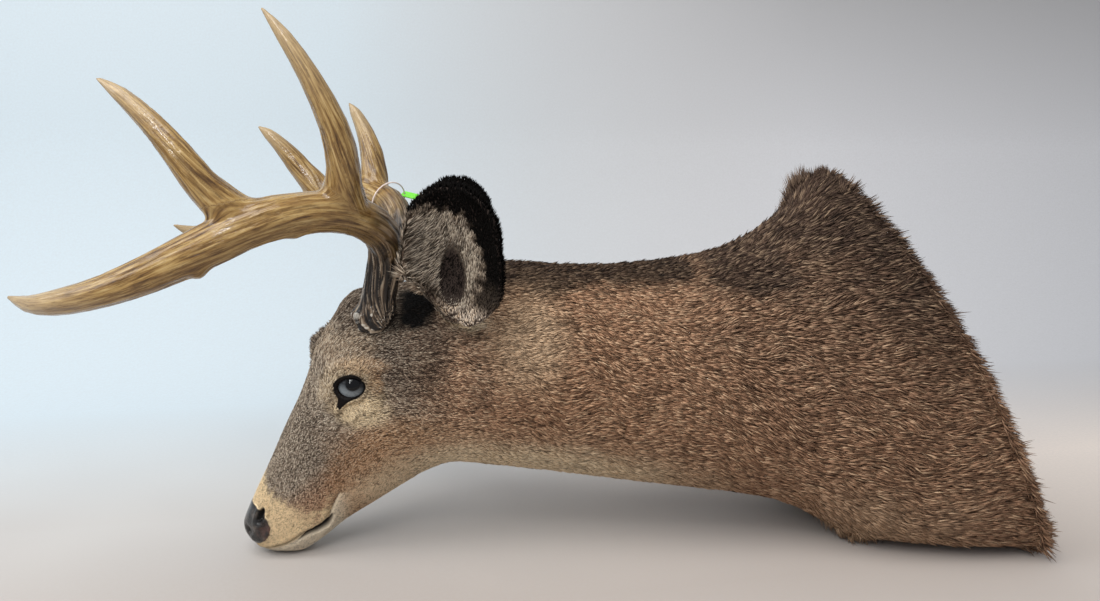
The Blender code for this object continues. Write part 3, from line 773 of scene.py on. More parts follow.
# %% The eyelids' outline
EYE_SHIFT = (-0.0018, 0.0015, 0.0036)  # forward, outwards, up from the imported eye
EYE_LOOK = (-0.05, 1.0, -0.03)  # forward, outwards, up
GLASS_FRONT, GLASS_REAR, GLASS_UP, GLASS_DOWN = 12.9 * MM, 12.9 * MM, 9.6 * MM, 9.9 * MM
RIM_FRONT, RIM_REAR, RIM_UP, RIM_DOWN = 18.0 * MM, 13.6 * MM, 13.6 * MM, 11.8 * MM
DUCT_TURN = math.radians(-57.0)  # from forwards towards up
DUCT_REACH, DUCT_SHOULDER = 9.5 * MM, 4.5 * MM
DUCT_SPREAD, SHOULDER_SPREAD = math.radians(9.0), math.radians(24.0)
ROUNDING = 1.85  # of the almonds; 2 would make them ellipses
EYE_REACH = 0.032  # nothing farther than this from an eye's axis is its lid
glass_centres = {side: eye_centres[side] + FORWARD * EYE_SHIFT[0] + ACROSS * EYE_SHIFT[1] * sign
                 + UP * EYE_SHIFT[2] for side, sign in SIDES.items()}


def eye_frame(side):
    """The directions in which an eye looks, its forwards and its up, as arrays."""
    look = FORWARD * EYE_LOOK[0] + ACROSS * EYE_LOOK[1] * SIDES[side] + UP * EYE_LOOK[2]
    look.normalize()
    onward = (FORWARD - look * FORWARD.dot(look)).normalized()
    rise = (UP - look * UP.dot(look) - onward * UP.dot(onward)).normalized()
    return np.array(look), np.array(onward), np.array(rise)


def eye_plane(points, side):
    """Distance from the eye's axis, turn round it from forwards towards up, and height along it."""
    look, onward, rise = eye_frame(side)
    from_eye = points - np.array(glass_centres[side])
    p, q = from_eye @ onward, from_eye @ rise
    return np.hypot(p, q), np.arctan2(q, p), from_eye @ look


def wrapped(angle):
    return (angle + math.pi) % math.tau - math.pi


def outline(turn, front, rear, top, bottom):
    """A rounded almond, as the distance from its middle in each direction."""
    p = np.where(np.cos(turn) > 0.0, front, rear)
    q = np.where(np.sin(turn) > 0.0, top, bottom)
    total = (np.abs(np.cos(turn)) / p) ** ROUNDING + (np.abs(np.sin(turn)) / q) ** ROUNDING
    return 1.0 / total ** (1.0 / ROUNDING)


def glass_outline(turn):
    return outline(turn, GLASS_FRONT, GLASS_REAR, GLASS_UP, GLASS_DOWN)


def rim_outline(turn):
    """The hair line round the bare rims, drawn out to a point at the tear duct."""
    from_duct = wrapped(turn - DUCT_TURN)
    duct = DUCT_REACH * np.exp(-(from_duct / DUCT_SPREAD) ** 2) \
        + DUCT_SHOULDER * np.exp(-(from_duct / SHOULDER_SPREAD) ** 2)
    return outline(turn, RIM_FRONT, RIM_REAR, RIM_UP, RIM_DOWN) + duct


opening_size = (GLASS_FRONT + GLASS_REAR) / MM, (GLASS_UP + GLASS_DOWN) / MM
print("opening between the lids:", [round(size) for size in opening_size], "mm")

# %% Join the flesh and remesh it as one skin
FLESH = ("shoulders", "neck_lower", "neck_upper", "head", "nose", "ear_left", "ear_right")
SKIN_VOXEL = 3.0 * MM
SMOOTH_ROUNDS = 3
TRUNK_STARTS = 0.36  # along the body line; behind this the skin is thinned out
TRUNK_KEEP = 0.60  # share of all the triangles that the thinning keeps
EARS_START = 0.10  # nothing higher than this above the eyes is thinned out
PACKED_MOUTH = ((0.0995, -0.1880), (0.0735, -0.1805), (0.0515, -0.1685), (0.0335, -0.1515),
                (0.0285, -0.1435))
LUMP_HALF_WIDTHS = (0.013, 0.018, 0.021, 0.024, 0.027)


def add_node_copy(bm, name):
    mesh = frame["nodes"][name].data.copy()
    bm.from_mesh(mesh)
    bpy.data.meshes.remove(mesh)


def fill_mouth(bm):
    """Lumps inside the jaws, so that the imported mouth's slit doesn't run right through."""
    for (forward, up), half_width in zip(PACKED_MOUTH, LUMP_HALF_WIDTHS):
        shape = Matrix.Diagonal((0.018, half_width, 0.007, 1.0))
        turn = Matrix((-FORWARD, ACROSS, UP)).transposed().to_4x4()
        matrix = Matrix.Translation(head_point(forward, 0.0, up)) @ turn @ shape
        bmesh.ops.create_uvsphere(bm, u_segments=24, v_segments=12, radius=1.0, matrix=matrix)


def thin_out_trunk(mesh):
    """Fewer, larger faces on the neck and shoulders, which the coat hides."""
    obj = linked("thin", mesh)
    points = points_of(mesh)
    trunk = (along_body(points)[0] > TRUNK_STARTS) & (in_head(points)[2] < EARS_START)
    group = obj.vertex_groups.new(name="trunk")
    group.add([int(i) for i in np.nonzero(trunk)[0]], 1.0, "REPLACE")
    fewer = obj.modifiers.new("fewer", "DECIMATE")
    fewer.ratio = TRUNK_KEEP
    fewer.vertex_group = "trunk"
    return applied(obj)


bm = bmesh.new()
for node in FLESH + ("eye_left", "eye_right"):
    add_node_copy(bm, node)
bmesh.ops.remove_doubles(bm, verts=bm.verts, dist=1e-5)
for side, centre in glass_centres.items():
    bmesh.ops.create_icosphere(bm, subdivisions=4, radius=EYE_RADIUS,
                               matrix=Matrix.Translation(centre))
fill_mouth(bm)
skin_mesh = thin_out_trunk(remeshed(bm, SKIN_VOXEL, SMOOTH_ROUNDS))
print("skin:", len(skin_mesh.vertices), "points,", len(skin_mesh.polygons), "faces")


# %% Finer faces round the eyes, the nose and the mouth
def refine(mesh, wanted):
    """Subdivide the edges whose two ends are both wanted."""
    bm = bmesh.new()
    bm.from_mesh(mesh)
    keep = wanted(points_of(mesh))
    edges = [edge for edge in bm.edges if keep[edge.verts[0].index] and keep[edge.verts[1].index]]
    bmesh.ops.subdivide_edges(bm, edges=edges, cuts=1, use_grid_fill=True, smooth=0.0)
    bm.to_mesh(mesh)
    bm.free()
    mesh.update()


def near_features(points):
    forward, across, up = in_head(points)
    by_eye = (np.hypot(forward, up) < 0.034) & (np.abs(across) > 0.030)
    by_nose = (forward > 0.082) & (up > -0.20)
    by_mouth = (mouth_distance(forward, up)[0] < 0.012) & (up < -0.10)
    return by_eye | by_nose | by_mouth


forward, across, up = in_head(points_of(skin_mesh))
slit_gap = np.abs(up - reading(PACKED_MOUTH[::-1], forward))
mouth_area = ease(slit_gap, 0.016, 0.006) * ease(forward, 0.010, 0.026) * ease(up, -0.125, -0.140)
run, top, _, _ = along_body(points_of(skin_mesh))
throat = hump(run, 0.27, 0.06) * ease(top, -0.2, -0.6)
relax(skin_mesh, np.clip(mouth_area + throat, 0.0, 1.0), 60)
refine(skin_mesh, near_features)
print("skin with finer features:", len(skin_mesh.vertices), "points")

# %% [markdown]
# ## Where the ears are
# The ears are grown into the skin, yet their hair is quite unlike the rest. Each point of the skin
# that is nearer to a packed ear than to the head belongs to that ear, and keeps its place on it, as
# a height and a place from front to rear, even after the ear is reshaped.

# %% Places on an ear
EAR_OPENING = (0.42, 0.88, -0.20)  # forward, outwards, up: the way the cup faces
EAR_LOBE = (-0.1085, 0.083, 0.0525)  # forward, outwards, up from between the eyes
EAR_TIP = (-0.1045, 0.116, 0.2005)
EAR_HALF_WIDTH = 0.050
EAR_WIDEST = 0.44
EAR_CANAL, EAR_CANAL_RADII = (0.35, 0.14), (0.30, 0.30)  # height, place to the front (-1 to 1)
EAR_PALE_CENTRE, EAR_PALE_RADII = (0.46, 0.30), (0.37, 0.80)


def ear_frame(side):
    """Lobe, length, rise, facing and front direction of one ear, as arrays."""
    out = SIDES[side]
    lobe = np.array(head_point(EAR_LOBE[0], EAR_LOBE[1] * out, EAR_LOBE[2]))
    tip = np.array(head_point(EAR_TIP[0], EAR_TIP[1] * out, EAR_TIP[2]))
    facing = FORWARD * EAR_OPENING[0] + ACROSS * EAR_OPENING[1] * out + UP * EAR_OPENING[2]
    facing = np.array(facing)
    rise = (tip - lobe) / np.linalg.norm(tip - lobe)
    facing = facing - rise * (facing @ rise)
    facing /= np.linalg.norm(facing)
    frontward = np.cross(rise, facing)
    frontward *= np.sign(frontward @ np.array(FORWARD))
    return lobe, np.linalg.norm(tip - lobe), rise, facing, frontward


def ear_edge(height, sideways):
    """0 along the middle of the ear and 1 at its outline."""
    t = np.clip(height, 0.0, 1.0)
    low = 1.0 - ((EAR_WIDEST - t) / (EAR_WIDEST + 0.01)) ** 2 * (t < EAR_WIDEST)
    high = 1.0 - (np.maximum(t - EAR_WIDEST, 0.0) / (1.01 - EAR_WIDEST)) ** 2.6
    return np.abs(sideways) / np.sqrt(np.maximum(low * high, 0.02))


def ear_places(points, normals):
    """Which ear each point is on (0, -1 left, 1 right), its height and its place to the front on
    it, and whether it is inside the cup (1) or on the back (-1)."""
    flesh = tree_of("head", "neck_upper")
    on_ear = np.zeros(len(points))
    height, sideways, inside = (np.zeros(len(points)) for _ in range(3))
    _, across, up = in_head(points)
    for side, sign in SIDES.items():
        tree = tree_of("ear_" + side)
        lobe, length, rise, facing, frontward = ear_frame(side)
        wanted = np.nonzero((across * sign > 0.064) & (up > 0.035))[0]
        for i in wanted:
            place = Vector(points[i])
            if tree.find_nearest(place)[3] < min(0.004, flesh.find_nearest(place)[3]):
                on_ear[i] = sign
        mine = on_ear == sign
        height[mine] = ((points - lobe) @ rise / length)[mine]
        sideways[mine] = ((points - lobe) @ frontward / EAR_HALF_WIDTH)[mine]
        inside[mine] = (normals @ facing)[mine]
    return on_ear, height, sideways, inside


ear_on, ear_height, ear_side, ear_inside = ear_places(points_of(skin_mesh), normals_of(skin_mesh))
print("points on the ears:", int((ear_on != 0).sum()))


# %% Reshape the ears
EAR_DEPTH = 0.9 * MM
EAR_TOP_WIDENING = 0.20
EAR_FRONT_LIFT = (0.11, 0.36)  # where the lower outline starts, at the rear and the front


def reshape_ears(points):
    """Round the tops off, and lift the lower front edge, which the head's hair covers."""
    for side, sign in SIDES.items():
        mine = ear_on == sign
        _, length, rise, _, frontward = ear_frame(side)
        height, sideways = ear_height[mine], ear_side[mine]
        root = ease(in_head(points[mine])[1] * sign, 0.070, 0.084)
        rear_lift, front_lift = EAR_FRONT_LIFT
        low = rear_lift + (front_lift - rear_lift) * ease(sideways, -0.3, 0.9)
        lifted = np.where(height < 0.5, low + np.clip(height, -0.05, 0.5) / 0.5 * (0.5 - low), height)
        wider = sideways * (1.0 + EAR_TOP_WIDENING * hump(height, 0.93, 0.17))
        move = (lifted - height)[:, None] * rise * length \
            + (wider - sideways)[:, None] * frontward * EAR_HALF_WIDTH
        points[mine] += move * root[:, None]
    return points


# %% [markdown]
# ## Modelling the head
# Each push moves the skin along its own normal: first the large forms, then the lips and nostrils,
# and last the sockets. What is opened or creased is kept as a share, to be coloured later.

# %% Where the features are
COAT_DEPTH = ((0.0, 0.6), (0.06, 1.0), (0.20, 2.0), (0.28, 3.0), (0.40, 6.5), (0.60, 8.0),
              (0.80, 9.0))  # along the body line, and in mm
RIM_SHARE = 0.70
HIDE_RIM = 0.014  # the hide is drawn in less within this of the wall
GAP_HEIGHTS = ((0.0, 0.2), (0.27, 0.3), (0.35, 1.2), (0.45, 2.9), (0.54, 4.4), (0.63, 4.2),
               (0.71, 1.6), (0.77, 0.3), (1.0, 0.2))  # share of the way back, and in mm
GAP_SHIFT = (-0.0026, -0.0024)  # the gap lies on the lower lip's side of the line
NOSTRIL_MIDDLE, NOSTRIL_RUNS = (0.1018, -0.1430), (0.0055, -0.0139)
NOSTRIL_HALF_LENGTH, NOSTRIL_HALF_WIDTH = 9.0 * MM, 3.7 * MM


def wall_gap(points):
    """Distance in front of the board's outer face."""
    return (WALL_POINT - points) @ WALL_OUT


def nostril(forward, up):
    """0 in the middle of a nostril and 1 on its rim."""
    way = np.array(NOSTRIL_RUNS) / np.hypot(*NOSTRIL_RUNS)
    f, u = forward - NOSTRIL_MIDDLE[0], up - NOSTRIL_MIDDLE[1]
    lengthwise = f * way[0] + u * way[1]
    crosswise = f * way[1] - u * way[0] + 0.030 * (lengthwise / 0.01) ** 2 * 0.01
    return np.hypot(lengthwise / NOSTRIL_HALF_LENGTH, crosswise / NOSTRIL_HALF_WIDTH)


def mouth_gap(forward, up, across):
    """1 where the lips stand apart, and 0 outside."""
    gap, back = mouth_distance(forward - GAP_SHIFT[0], up - GAP_SHIFT[1])
    half = reading(GAP_HEIGHTS, back) * MM
    return ease(gap - half, 0.9 * MM, -0.7 * MM) * ease(np.abs(across), 0.003, 0.008) \
        * ease(half, 0.2 * MM, 1.2 * MM)


# %% Shape the head
def shape_head(points, normals):
    """Soft pushes along the surface: jaw, muzzle, nose bridge, brow and cheeks."""
    forward, across, up = in_head(points)
    run, top, _, _ = along_body(points)
    out = np.abs(across)
    in_front = ease(forward, -0.01, 0.02)
    socket = oval(forward, up, (0.0, 0.0), (0.038, 0.036))
    pushes = {
        "forehead": 2.6 * MM * ease(oval(out, up, (0.0, 0.034), (0.030, 0.014)), 1.3, 0.2) * in_front,
        "crown": -2.2 * MM * ease(oval(out, up, (0.0, 0.062), (0.034, 0.018)), 1.3, 0.2) * in_front,
        "bridge": -1.5 * MM * hump(up, -0.085, 0.034) * ease(top, 0.55, 0.90)
        * ease(forward, 0.02, 0.05),
        "brisket": 4.0 * MM * hump(run, 0.706, 0.022) * ease(top, -0.86, -0.94),
        "withers": 3.0 * MM * hump(run, 0.706, 0.018) * ease(top, 0.94, 0.985),
        "throat": -5.5 * MM * ease(top, -0.35, -0.80) * hump(run, 0.185, 0.060),
        "socket": -1.4 * MM * hump(socket, 1.0, 0.16) * ease(out, 0.03, 0.04),
        "eyebrow": 2.2 * MM * ease(oval(forward, up, (-0.008, 0.030), (0.026, 0.010)), 1.4, 0.2)
        * ease(out, 0.02, 0.035),
        "tear fold": 1.4 * MM * hump(up + 0.055 + 0.8 * (forward - 0.03), 0.0, 0.006)
        * ease(out, 0.02, 0.03) * ease(forward, -0.02, 0.0) * ease(forward, 0.075, 0.05),
    }
    points = points + normals * sum(pushes.values())[:, None]
    narrow = -0.06 * ease(below_mouth(forward, up), 0.0, 0.008) * ease(forward, 0.010, 0.040) \
        * ease(up, -0.120, -0.145)
    return points - np.outer(across * narrow, np.array(ACROSS))


def carve_mouth_and_nose(points, normals):
    """Crease and part the lips, round them, and open the nostrils."""
    forward, across, up = in_head(points)
    out = np.abs(across)
    gap = mouth_distance(forward, up)[0]
    by_lips, by_nose = ease(out, 0.008, 0.016), ease(out, 0.010, 0.017)
    fuller = np.where(below_mouth(forward, up) > 0.0, 0.3, 1.0)
    hole = nostril(forward, up)
    flesh = oval(forward, up, (0.0990, -0.1560), (0.0050, 0.0065))
    pushes = {
        "crease": -1.5 * MM * hump(gap, 0.0, 1.7 * MM) * by_lips * ease(up, -0.110, -0.122),
        "gap": -6.5 * MM * mouth_gap(forward, up, across),
        "lips": 1.3 * MM * hump(gap, 5.0 * MM, 2.6 * MM) * by_lips * fuller
        * ease(up, -0.115, -0.135),
        "nostril": -7.0 * MM * ease(hole, 1.10, 0.45) * by_nose,
        "its rim": 1.5 * MM * hump(hole, 1.55, 0.38) * by_nose,
        "flesh below": -1.6 * MM * ease(flesh, 1.2, 0.3) * by_nose,
        "cleft": -1.3 * MM * hump(across, 0.0, 1.5 * MM) * ease(up, -0.160, -0.172)
        * ease(forward, 0.100, 0.112),
    }
    return points + normals * sum(pushes.values())[:, None]


# %% Carve the sockets, and shape the skin
OPENING_LIMIT = 15.5 * MM  # the glass is taken as no lower than here
LID_STANDS = 2.6 * MM  # the skin round the opening, over the glass
LID_SLOPE = 0.42


def glass_height(distance):
    """Height of the glass eye's surface at a distance from its axis."""
    return np.sqrt(np.maximum(EYE_RADIUS ** 2 - distance ** 2, 0.0))


def carve_eyes(points):
    """Draw the skin down to the eyelids' rims, and behind the glass inside them."""
    for side in SIDES:
        radius, turn, height = eye_plane(points, side)
        look = eye_frame(side)[0]
        rim, opening = rim_outline(turn), glass_outline(turn)
        near = (radius < EYE_REACH) & (height > 0.0)
        edge_height = glass_height(np.minimum(opening, OPENING_LIMIT)) + LID_STANDS
        high = edge_height + (radius - opening) * LID_SLOPE
        over = np.clip(height - high, 0.0, 1.0) * near * ease(radius - rim, 0.013, 0.001)
        points = points - over[:, None] * 0.85 * look
        low = np.clip(edge_height - 1.0 * MM - height, 0.0, 6.0 * MM) * near \
            * ease(radius - rim, 0.006, 0.0)
        points = points + low[:, None] * look
        radius, turn, height = eye_plane(points, side)
        inner = near & (radius < glass_outline(turn) + 0.6 * MM)
        sink = np.maximum(height - (glass_height(radius) - 4.0 * MM), 0.0)
        points = points - (sink * inner)[:, None] * look
    return points


points, normals = points_of(skin_mesh), normals_of(skin_mesh)
forward, across, up = in_head(points)
depth = reading(COAT_DEPTH, along_body(points)[0]) * MM
depth = depth * (RIM_SHARE + (1.0 - RIM_SHARE) * ease(wall_gap(points), 0.004, HIDE_RIM))
depth *= ease(nose_pad(forward, up), 0.9, 1.1)
depth[ear_on != 0] = EAR_DEPTH
points = reshape_ears(points - normals * depth[:, None])
points = shape_head(points, normals)
points[:, 2] = np.maximum(points[:, 2], 0.6 * MM)
set_points(skin_mesh, points)
forward, _, up = in_head(points)
face = ease(forward, -0.06, -0.03) * (ear_on == 0) * ease(nose_pad(forward, up), 0.9, 1.2)
relax(skin_mesh, face * 0.7, 8)
smooth_points, normals = points_of(skin_mesh), normals_of(skin_mesh)
forward, across, up = in_head(smooth_points)
beside = ease(np.abs(across), 0.008, 0.015)
lips_open = mouth_gap(forward, up, across)
lips_crease = hump(mouth_distance(forward, up)[0], 0.0, 1.2 * MM) * beside \
    * ease(up, -0.108, -0.122)
nostril_share = ease(nostril(forward, up), 1.15, 0.85) * beside
set_points(skin_mesh, carve_eyes(carve_mouth_and_nose(smooth_points, normals)))
skin_mesh.shade_smooth()
print("skin's box:", points_of(skin_mesh).min(0).round(3), points_of(skin_mesh).max(0).round(3))

# %% [markdown]
# ## Colours of the skin
# The skin takes the markings' shares, and its own for the ears, the pad, the lips, the nostrils
# and the cut leather behind. Between the locks it shows as the dark under-coat, with flecks of
# painted shade between the hairs. The nostrils and the gap between the lips are painted shade.


# %% Colour shares on the skin
def ear_pale(height, sideways, points):
    """1 in the pale middle of an ear's cup, 0 on the black margin."""
    ragged = ripple(points, 0.009, 21) * 0.10
    return ease(oval(height, sideways, EAR_PALE_CENTRE, EAR_PALE_RADII) + ragged, 1.12, 0.80)


def ear_canal(height, sideways):
    """1 in the dark canal of an ear, 0 away from it."""
    return ease(oval(height + 0.10 * sideways, sideways, EAR_CANAL, EAR_CANAL_RADII), 1.25, 0.45)


def colour_ears(share, points, on_ear, height, sideways, inside):
    """Black-brown backs and rims, and a pale cup with a dark canal."""
    mine = on_ear != 0
    cup = ease(inside, 0.0, 0.30)
    pale = ear_pale(height, sideways, points) * cup
    front_back = ease(sideways, 0.35, 0.80) * ease(height, 0.75, 0.55) * (1.0 - cup)
    black = np.clip(1.0 - pale - front_back * 0.8, 0.0, 1.0)
    shadow = ease(ear_canal(height, sideways) * cup, 0.05, 0.70)
    black = black * (1.0 - 0.10 * ease(height, 0.45, 0.20))
    share["black"][mine] = np.maximum(black, shadow)[mine]
    share["grey"][mine] = np.maximum(pale, front_back)[mine]
    share["pale"][mine] = (pale * 0.22)[mine]
    for name in ("warm", "cream", "white", "dark"):
        share[name][mine] = 0.0
    return share


skin_points = points_of(skin_mesh)
forward, across, up = in_head(skin_points)
share = colour_ears(markings(skin_points), skin_points, ear_on, ear_height, ear_side, ear_inside)
for side in SIDES:
    radius, turn, height = eye_plane(skin_points, side)
    rim = ease(radius - rim_outline(turn), 0.8 * MM, -0.4 * MM) * (height > 0.004) * (radius < 0.03)
    share["black"] = np.maximum(share["black"], rim)
store_shares(skin_mesh, share)
store(skin_mesh, "pad", ease(nose_pad(forward, up), 1.03, 0.95))
store(skin_mesh, "lips", np.maximum(lips_crease * 0.7, lips_open))
store(skin_mesh, "nostril", nostril_share)
flesh = oval(forward, up, (0.0975, -0.1610), (0.0085, 0.0120)) + ripple(skin_points, 0.004, 22) * 0.3
store(skin_mesh, "flesh", ease(flesh, 1.25, 0.6) * beside)
behind = ease(normals_of(skin_mesh) @ WALL_OUT, 0.5, 0.8) * ease(wall_gap(skin_points), 0.030, 0.020)
store(skin_mesh, "leather", behind)

# %% The skin's finish
hide = Finish("hide", Roughness=0.75, Specular_IOR_Level=0.3)
hair_grain = hide.speckle(hide.place((900.0, 900.0, 900.0)), detail=4.0, roughness=0.7)
hair_streak = hide.speckle(hide.place((160.0, 420.0, 420.0)), detail=3.0)
fair = (hide.attribute("cream") + hide.attribute("white") + hide.attribute("pale") * 0.4).clamped()
# painted shade: near-black flecks in hair-like streaks, standing for the shade between hairs, less on
# fair hair
between = (hair_streak * hair_grain * 2.4 - 0.35).clamped() * (0.8 - 0.7 * fair)
pebble = hide.node("TexVoronoi", {"feature": "DISTANCE_TO_EDGE"},
                   {"Vector": hide.place((560.0,) * 3), "Scale": 1.0})
pad = hide.attribute("pad")
pad_patch = hide.speckle(hide.place((130.0,) * 3), detail=3.0)
pad_colour = hide.ramp(pad_patch, [(0.40, (0.007, 0.0065, 0.006)), (0.55, (0.035, 0.028, 0.024)),
                                   (0.68, (0.12, 0.095, 0.075))])
flesh_colour = hide.ramp(pad_patch, [(0.42, (0.014, 0.008, 0.007)), (0.64, (0.085, 0.040, 0.030))])
colour = hide.layers(
    mixed_coat_colour(hide),
    (rgb(0.07, 0.046, 0.036), 0.62 - 0.54 * fair),
    (rgb(0.02, 0.014, 0.011), between),
    (pad_colour, pad),
    (flesh_colour, hide.attribute("flesh")),
    # painted shade: the nostrils are near-black, the shade inside them
    (rgb(0.003, 0.002, 0.002), hide.attribute("nostril")),
    # the lips: their own black skin, with painted shade in the crease and the open gap
    (rgb(0.006, 0.004, 0.004), hide.attribute("lips")),
    (rgb(0.20, 0.15, 0.11), hide.attribute("leather")))
relief = hide.bump(hair_streak + hair_grain * 0.6, 0.8 * MM, 0.7)
relief = hide.bump((pebble * pad * 3.0).clamped(), 0.5 * MM, 0.9, relief)
hide.feed(Base_Color=colour, Roughness=0.78 - 0.46 * pad, Coat_Weight=pad * 0.55, Normal=relief)
skin = new_piece("skin", skin_mesh, hide.material)
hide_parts(*FLESH)
print("skin rides on root and stands for", FLESH)

# %% [markdown]
# ## Glass eyes and eyelids
# A taxidermist sets a glass eye, painted on its back, into clay, and tucks the lid's skin round it.
# The glass is a ball with a slight cornea, so that the soft box makes one bright highlight in it.
# The lids' rims are bare black skin. Each is drawn out ring by ring, from the edge that touches the
# glass to the line where the hair begins, which also covers the skin's own edge.

# %% The glass eyes
CORNEA_BULGE, CORNEA_SPREAD = 0.9 * MM, math.radians(24.0)


def sphere(bm, radius, centre, axes, segments=56, rings=32):
    """A sphere whose pole points along the first of three axes."""
    look, onward, rise = (Vector(axis) for axis in axes)
    turn = Matrix((rise, onward, look)).transposed().to_4x4()
    return bmesh.ops.create_uvsphere(bm, u_segments=segments, v_segments=rings, radius=radius,
                                     matrix=Matrix.Translation(centre) @ turn)["verts"]


glass = Finish("glass_eye", Roughness=0.10, Coat_Weight=0.55, Coat_Roughness=0.02,
               Specular_IOR_Level=0.0)
gaze = glass.attribute("gaze", "Vector")
gaze_forward, gaze_up, _ = glass.parts(gaze)
pupil = 1.0 - (((gaze_forward + 0.13) / 0.50) ** 2.0 + ((gaze_up - 0.24) / 0.44) ** 2.0) ** 0.5
threads = glass.speckle(glass.node("VectorMath", {"operation": "NORMALIZE"}, {0: gaze}),
                        scale=22.0, detail=2.0)
iris = glass.ramp(threads, [(0.35, (0.13, 0.15, 0.165)), (0.65, (0.30, 0.335, 0.36))])
off_axis = glass.node("VectorMath", {"operation": "LENGTH"}, {0: gaze}, out="Value")
# The iris is the glass's own paint, but it is laid in only low down: the dark top of the glass is
# painted shade under the upper lid, and the light crescent below is partly a painted reflection.
eye_colour = glass.layers(
    rgb(0.030, 0.032, 0.036),
    (iris, (0.34 - gaze_up * 2.0 + gaze_forward * 0.5).clamped()),
    (rgb(0.003, 0.003, 0.004), (pupil * 4.5).clamped()),
    (rgb(0.012, 0.012, 0.014), ((off_axis - 0.64) * 5.0).clamped()))
glass.feed(Base_Color=eye_colour)

for side, centre in glass_centres.items():
    bm = bmesh.new()
    axes = eye_frame(side)
    ball = sphere(bm, EYE_RADIUS - 0.1 * MM, centre, axes)
    for vert in ball:
        from_eye = vert.co - centre
        off = from_eye.angle(Vector(axes[0]))
        vert.co += from_eye.normalized() * CORNEA_BULGE * math.exp(-(off / CORNEA_SPREAD) ** 2)
    mesh = mesh_from(bm, "eye_" + side)
    directions = points_of(mesh) - np.array(centre)
    directions /= norms(directions)[:, None]
    looks = np.stack([directions @ axes[1], directions @ axes[2], np.zeros(len(directions))], axis=1)
    store_vectors(mesh, "gaze", looks)
    eye = new_piece("glass_eye_" + side, mesh, glass.material)
    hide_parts("eye_" + side)
print("glass eyes of", round(2 * EYE_RADIUS / MM), "mm")


# %% The rims of the lids
def draw_rings(bm, rings):
    """Extrude the first ring of points through all the others, as a tube or a band."""
    count = len(rings[0])
    first = [bm.verts.new(point) for point in rings[0]]
    edges = [bm.edges.new((first[k], first[(k + 1) % count])) for k in range(count)]
    start = list(edges)
    for ring in rings[1:]:
        moved = bmesh.ops.extrude_edge_only(bm, edges=edges)["geom"]
        verts = [item for item in moved if isinstance(item, bmesh.types.BMVert)]
        edges = [item for item in moved if isinstance(item, bmesh.types.BMEdge)]
        for vert, point in zip(verts, ring):
            vert.co = point
    return start, edges


LID_STEPS = 120
LID_ROUTE = (  # share of the way to the hair, height over the skin in mm
    (-0.10, -2.2), (0.0, -0.2), (0.10, 0.8), (0.24, 1.1), (0.40, 0.9), (0.55, 0.7), (0.70, 0.6),
    (0.85, 0.5), (1.0, 0.1), (1.04, -2.0))
lid_skin = Finish("lid_skin", Roughness=0.42, Specular_IOR_Level=0.10)
lid_grain = lid_skin.speckle(lid_skin.place((700.0,) * 3), detail=3.0)
lid_colour = lid_skin.ramp(lid_grain, [(0.3, (0.002, 0.0016, 0.0016)), (0.7, (0.010, 0.007, 0.006))])
lid_skin.feed(Base_Color=lid_colour, Normal=lid_skin.bump(lid_grain, 0.4 * MM, 0.6))
smooth_tree = BVHTree.FromPolygons([Vector(point) for point in points_of(skin_mesh)],
                                   [tuple(face.vertices) for face in skin_mesh.polygons])
for side, centre in glass_centres.items():
    look, onward, rise = eye_frame(side)
    turns = np.arange(LID_STEPS) * math.tau / LID_STEPS
    opening, rim = glass_outline(turns), rim_outline(turns)
    rings = []
    for share_out, height_mm in LID_ROUTE:
        radius = opening + (rim - opening) * share_out
        ring = []
        for k, turn in enumerate(turns):
            inner_height = glass_height(min(opening[k], OPENING_LIMIT)) + 0.8 * MM
            flat = Vector(onward) * math.cos(turn) + Vector(rise) * math.sin(turn)
            above = centre + flat * radius[k] + Vector(look) * 0.05
            hit = smooth_tree.ray_cast(above, -Vector(look), 0.06)[0]
            skin_height = (hit - centre).dot(Vector(look)) if hit else inner_height
            away = min(max((radius[k] - opening[k]) / (3.5 * MM), 0.0), 1.0)
            height = inner_height + (skin_height + 0.4 * MM - inner_height) * away + height_mm * MM
            ring.append(centre + flat * radius[k] + Vector(look) * height)
        rings.append(ring)
    bm = bmesh.new()
    start, end = draw_rings(bm, rings)
    bmesh.ops.bridge_loops(bm, edges=start + end)
    new_piece("eyelid_" + side, mesh_from(bm, "eyelid_" + side), lid_skin.material)
print("eyelids:", LID_STEPS, "steps round each eye")

# %% [markdown]
# ## The antlers
# Antler is bone. It is dark and beaded at the burr, grooved lengthwise where the blood vessels of
# the velvet lay, and polished pale at the tips, and here it is lacquered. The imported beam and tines
# are melted into one piece so that the forks web together. Grooves and beads need to know which way
# the antler runs, so each branch's centre line is found first, by letting a chain of points settle
# along the middle of it.

# %% Centre lines of the branches
BRANCHES = {"beam": ("base", "middle", "point"), "rear_tine": ("rear_tine",),
            "front_tine": ("front_tine",)}
STATIONS_PER_METRE = 160
SETTLING_ROUNDS = 12
LINE_STEP = 0.010


def centre_line(points, start, end, stations):
    """A chain from near start to near end, settled into the middle of a tube of points."""
    chain = start + (end - start) * np.linspace(0.0, 1.0, stations)[:, None]
    for _ in range(SETTLING_ROUNDS):
        nearest = np.linalg.norm(points[:, None] - chain[None], axis=2).argmin(axis=1)
        for i in range(stations):
            mine = points[nearest == i]
            if len(mine):
                chain[i] = mine.mean(axis=0)
        inner = (chain[:-2] + chain[2:]) / 2
        chain[1:-1] = chain[1:-1] * 0.5 + inner * 0.5
    return chain


def distance_along(line):
    return np.concatenate([[0.0], np.cumsum(norms(np.diff(line, axis=0)))])


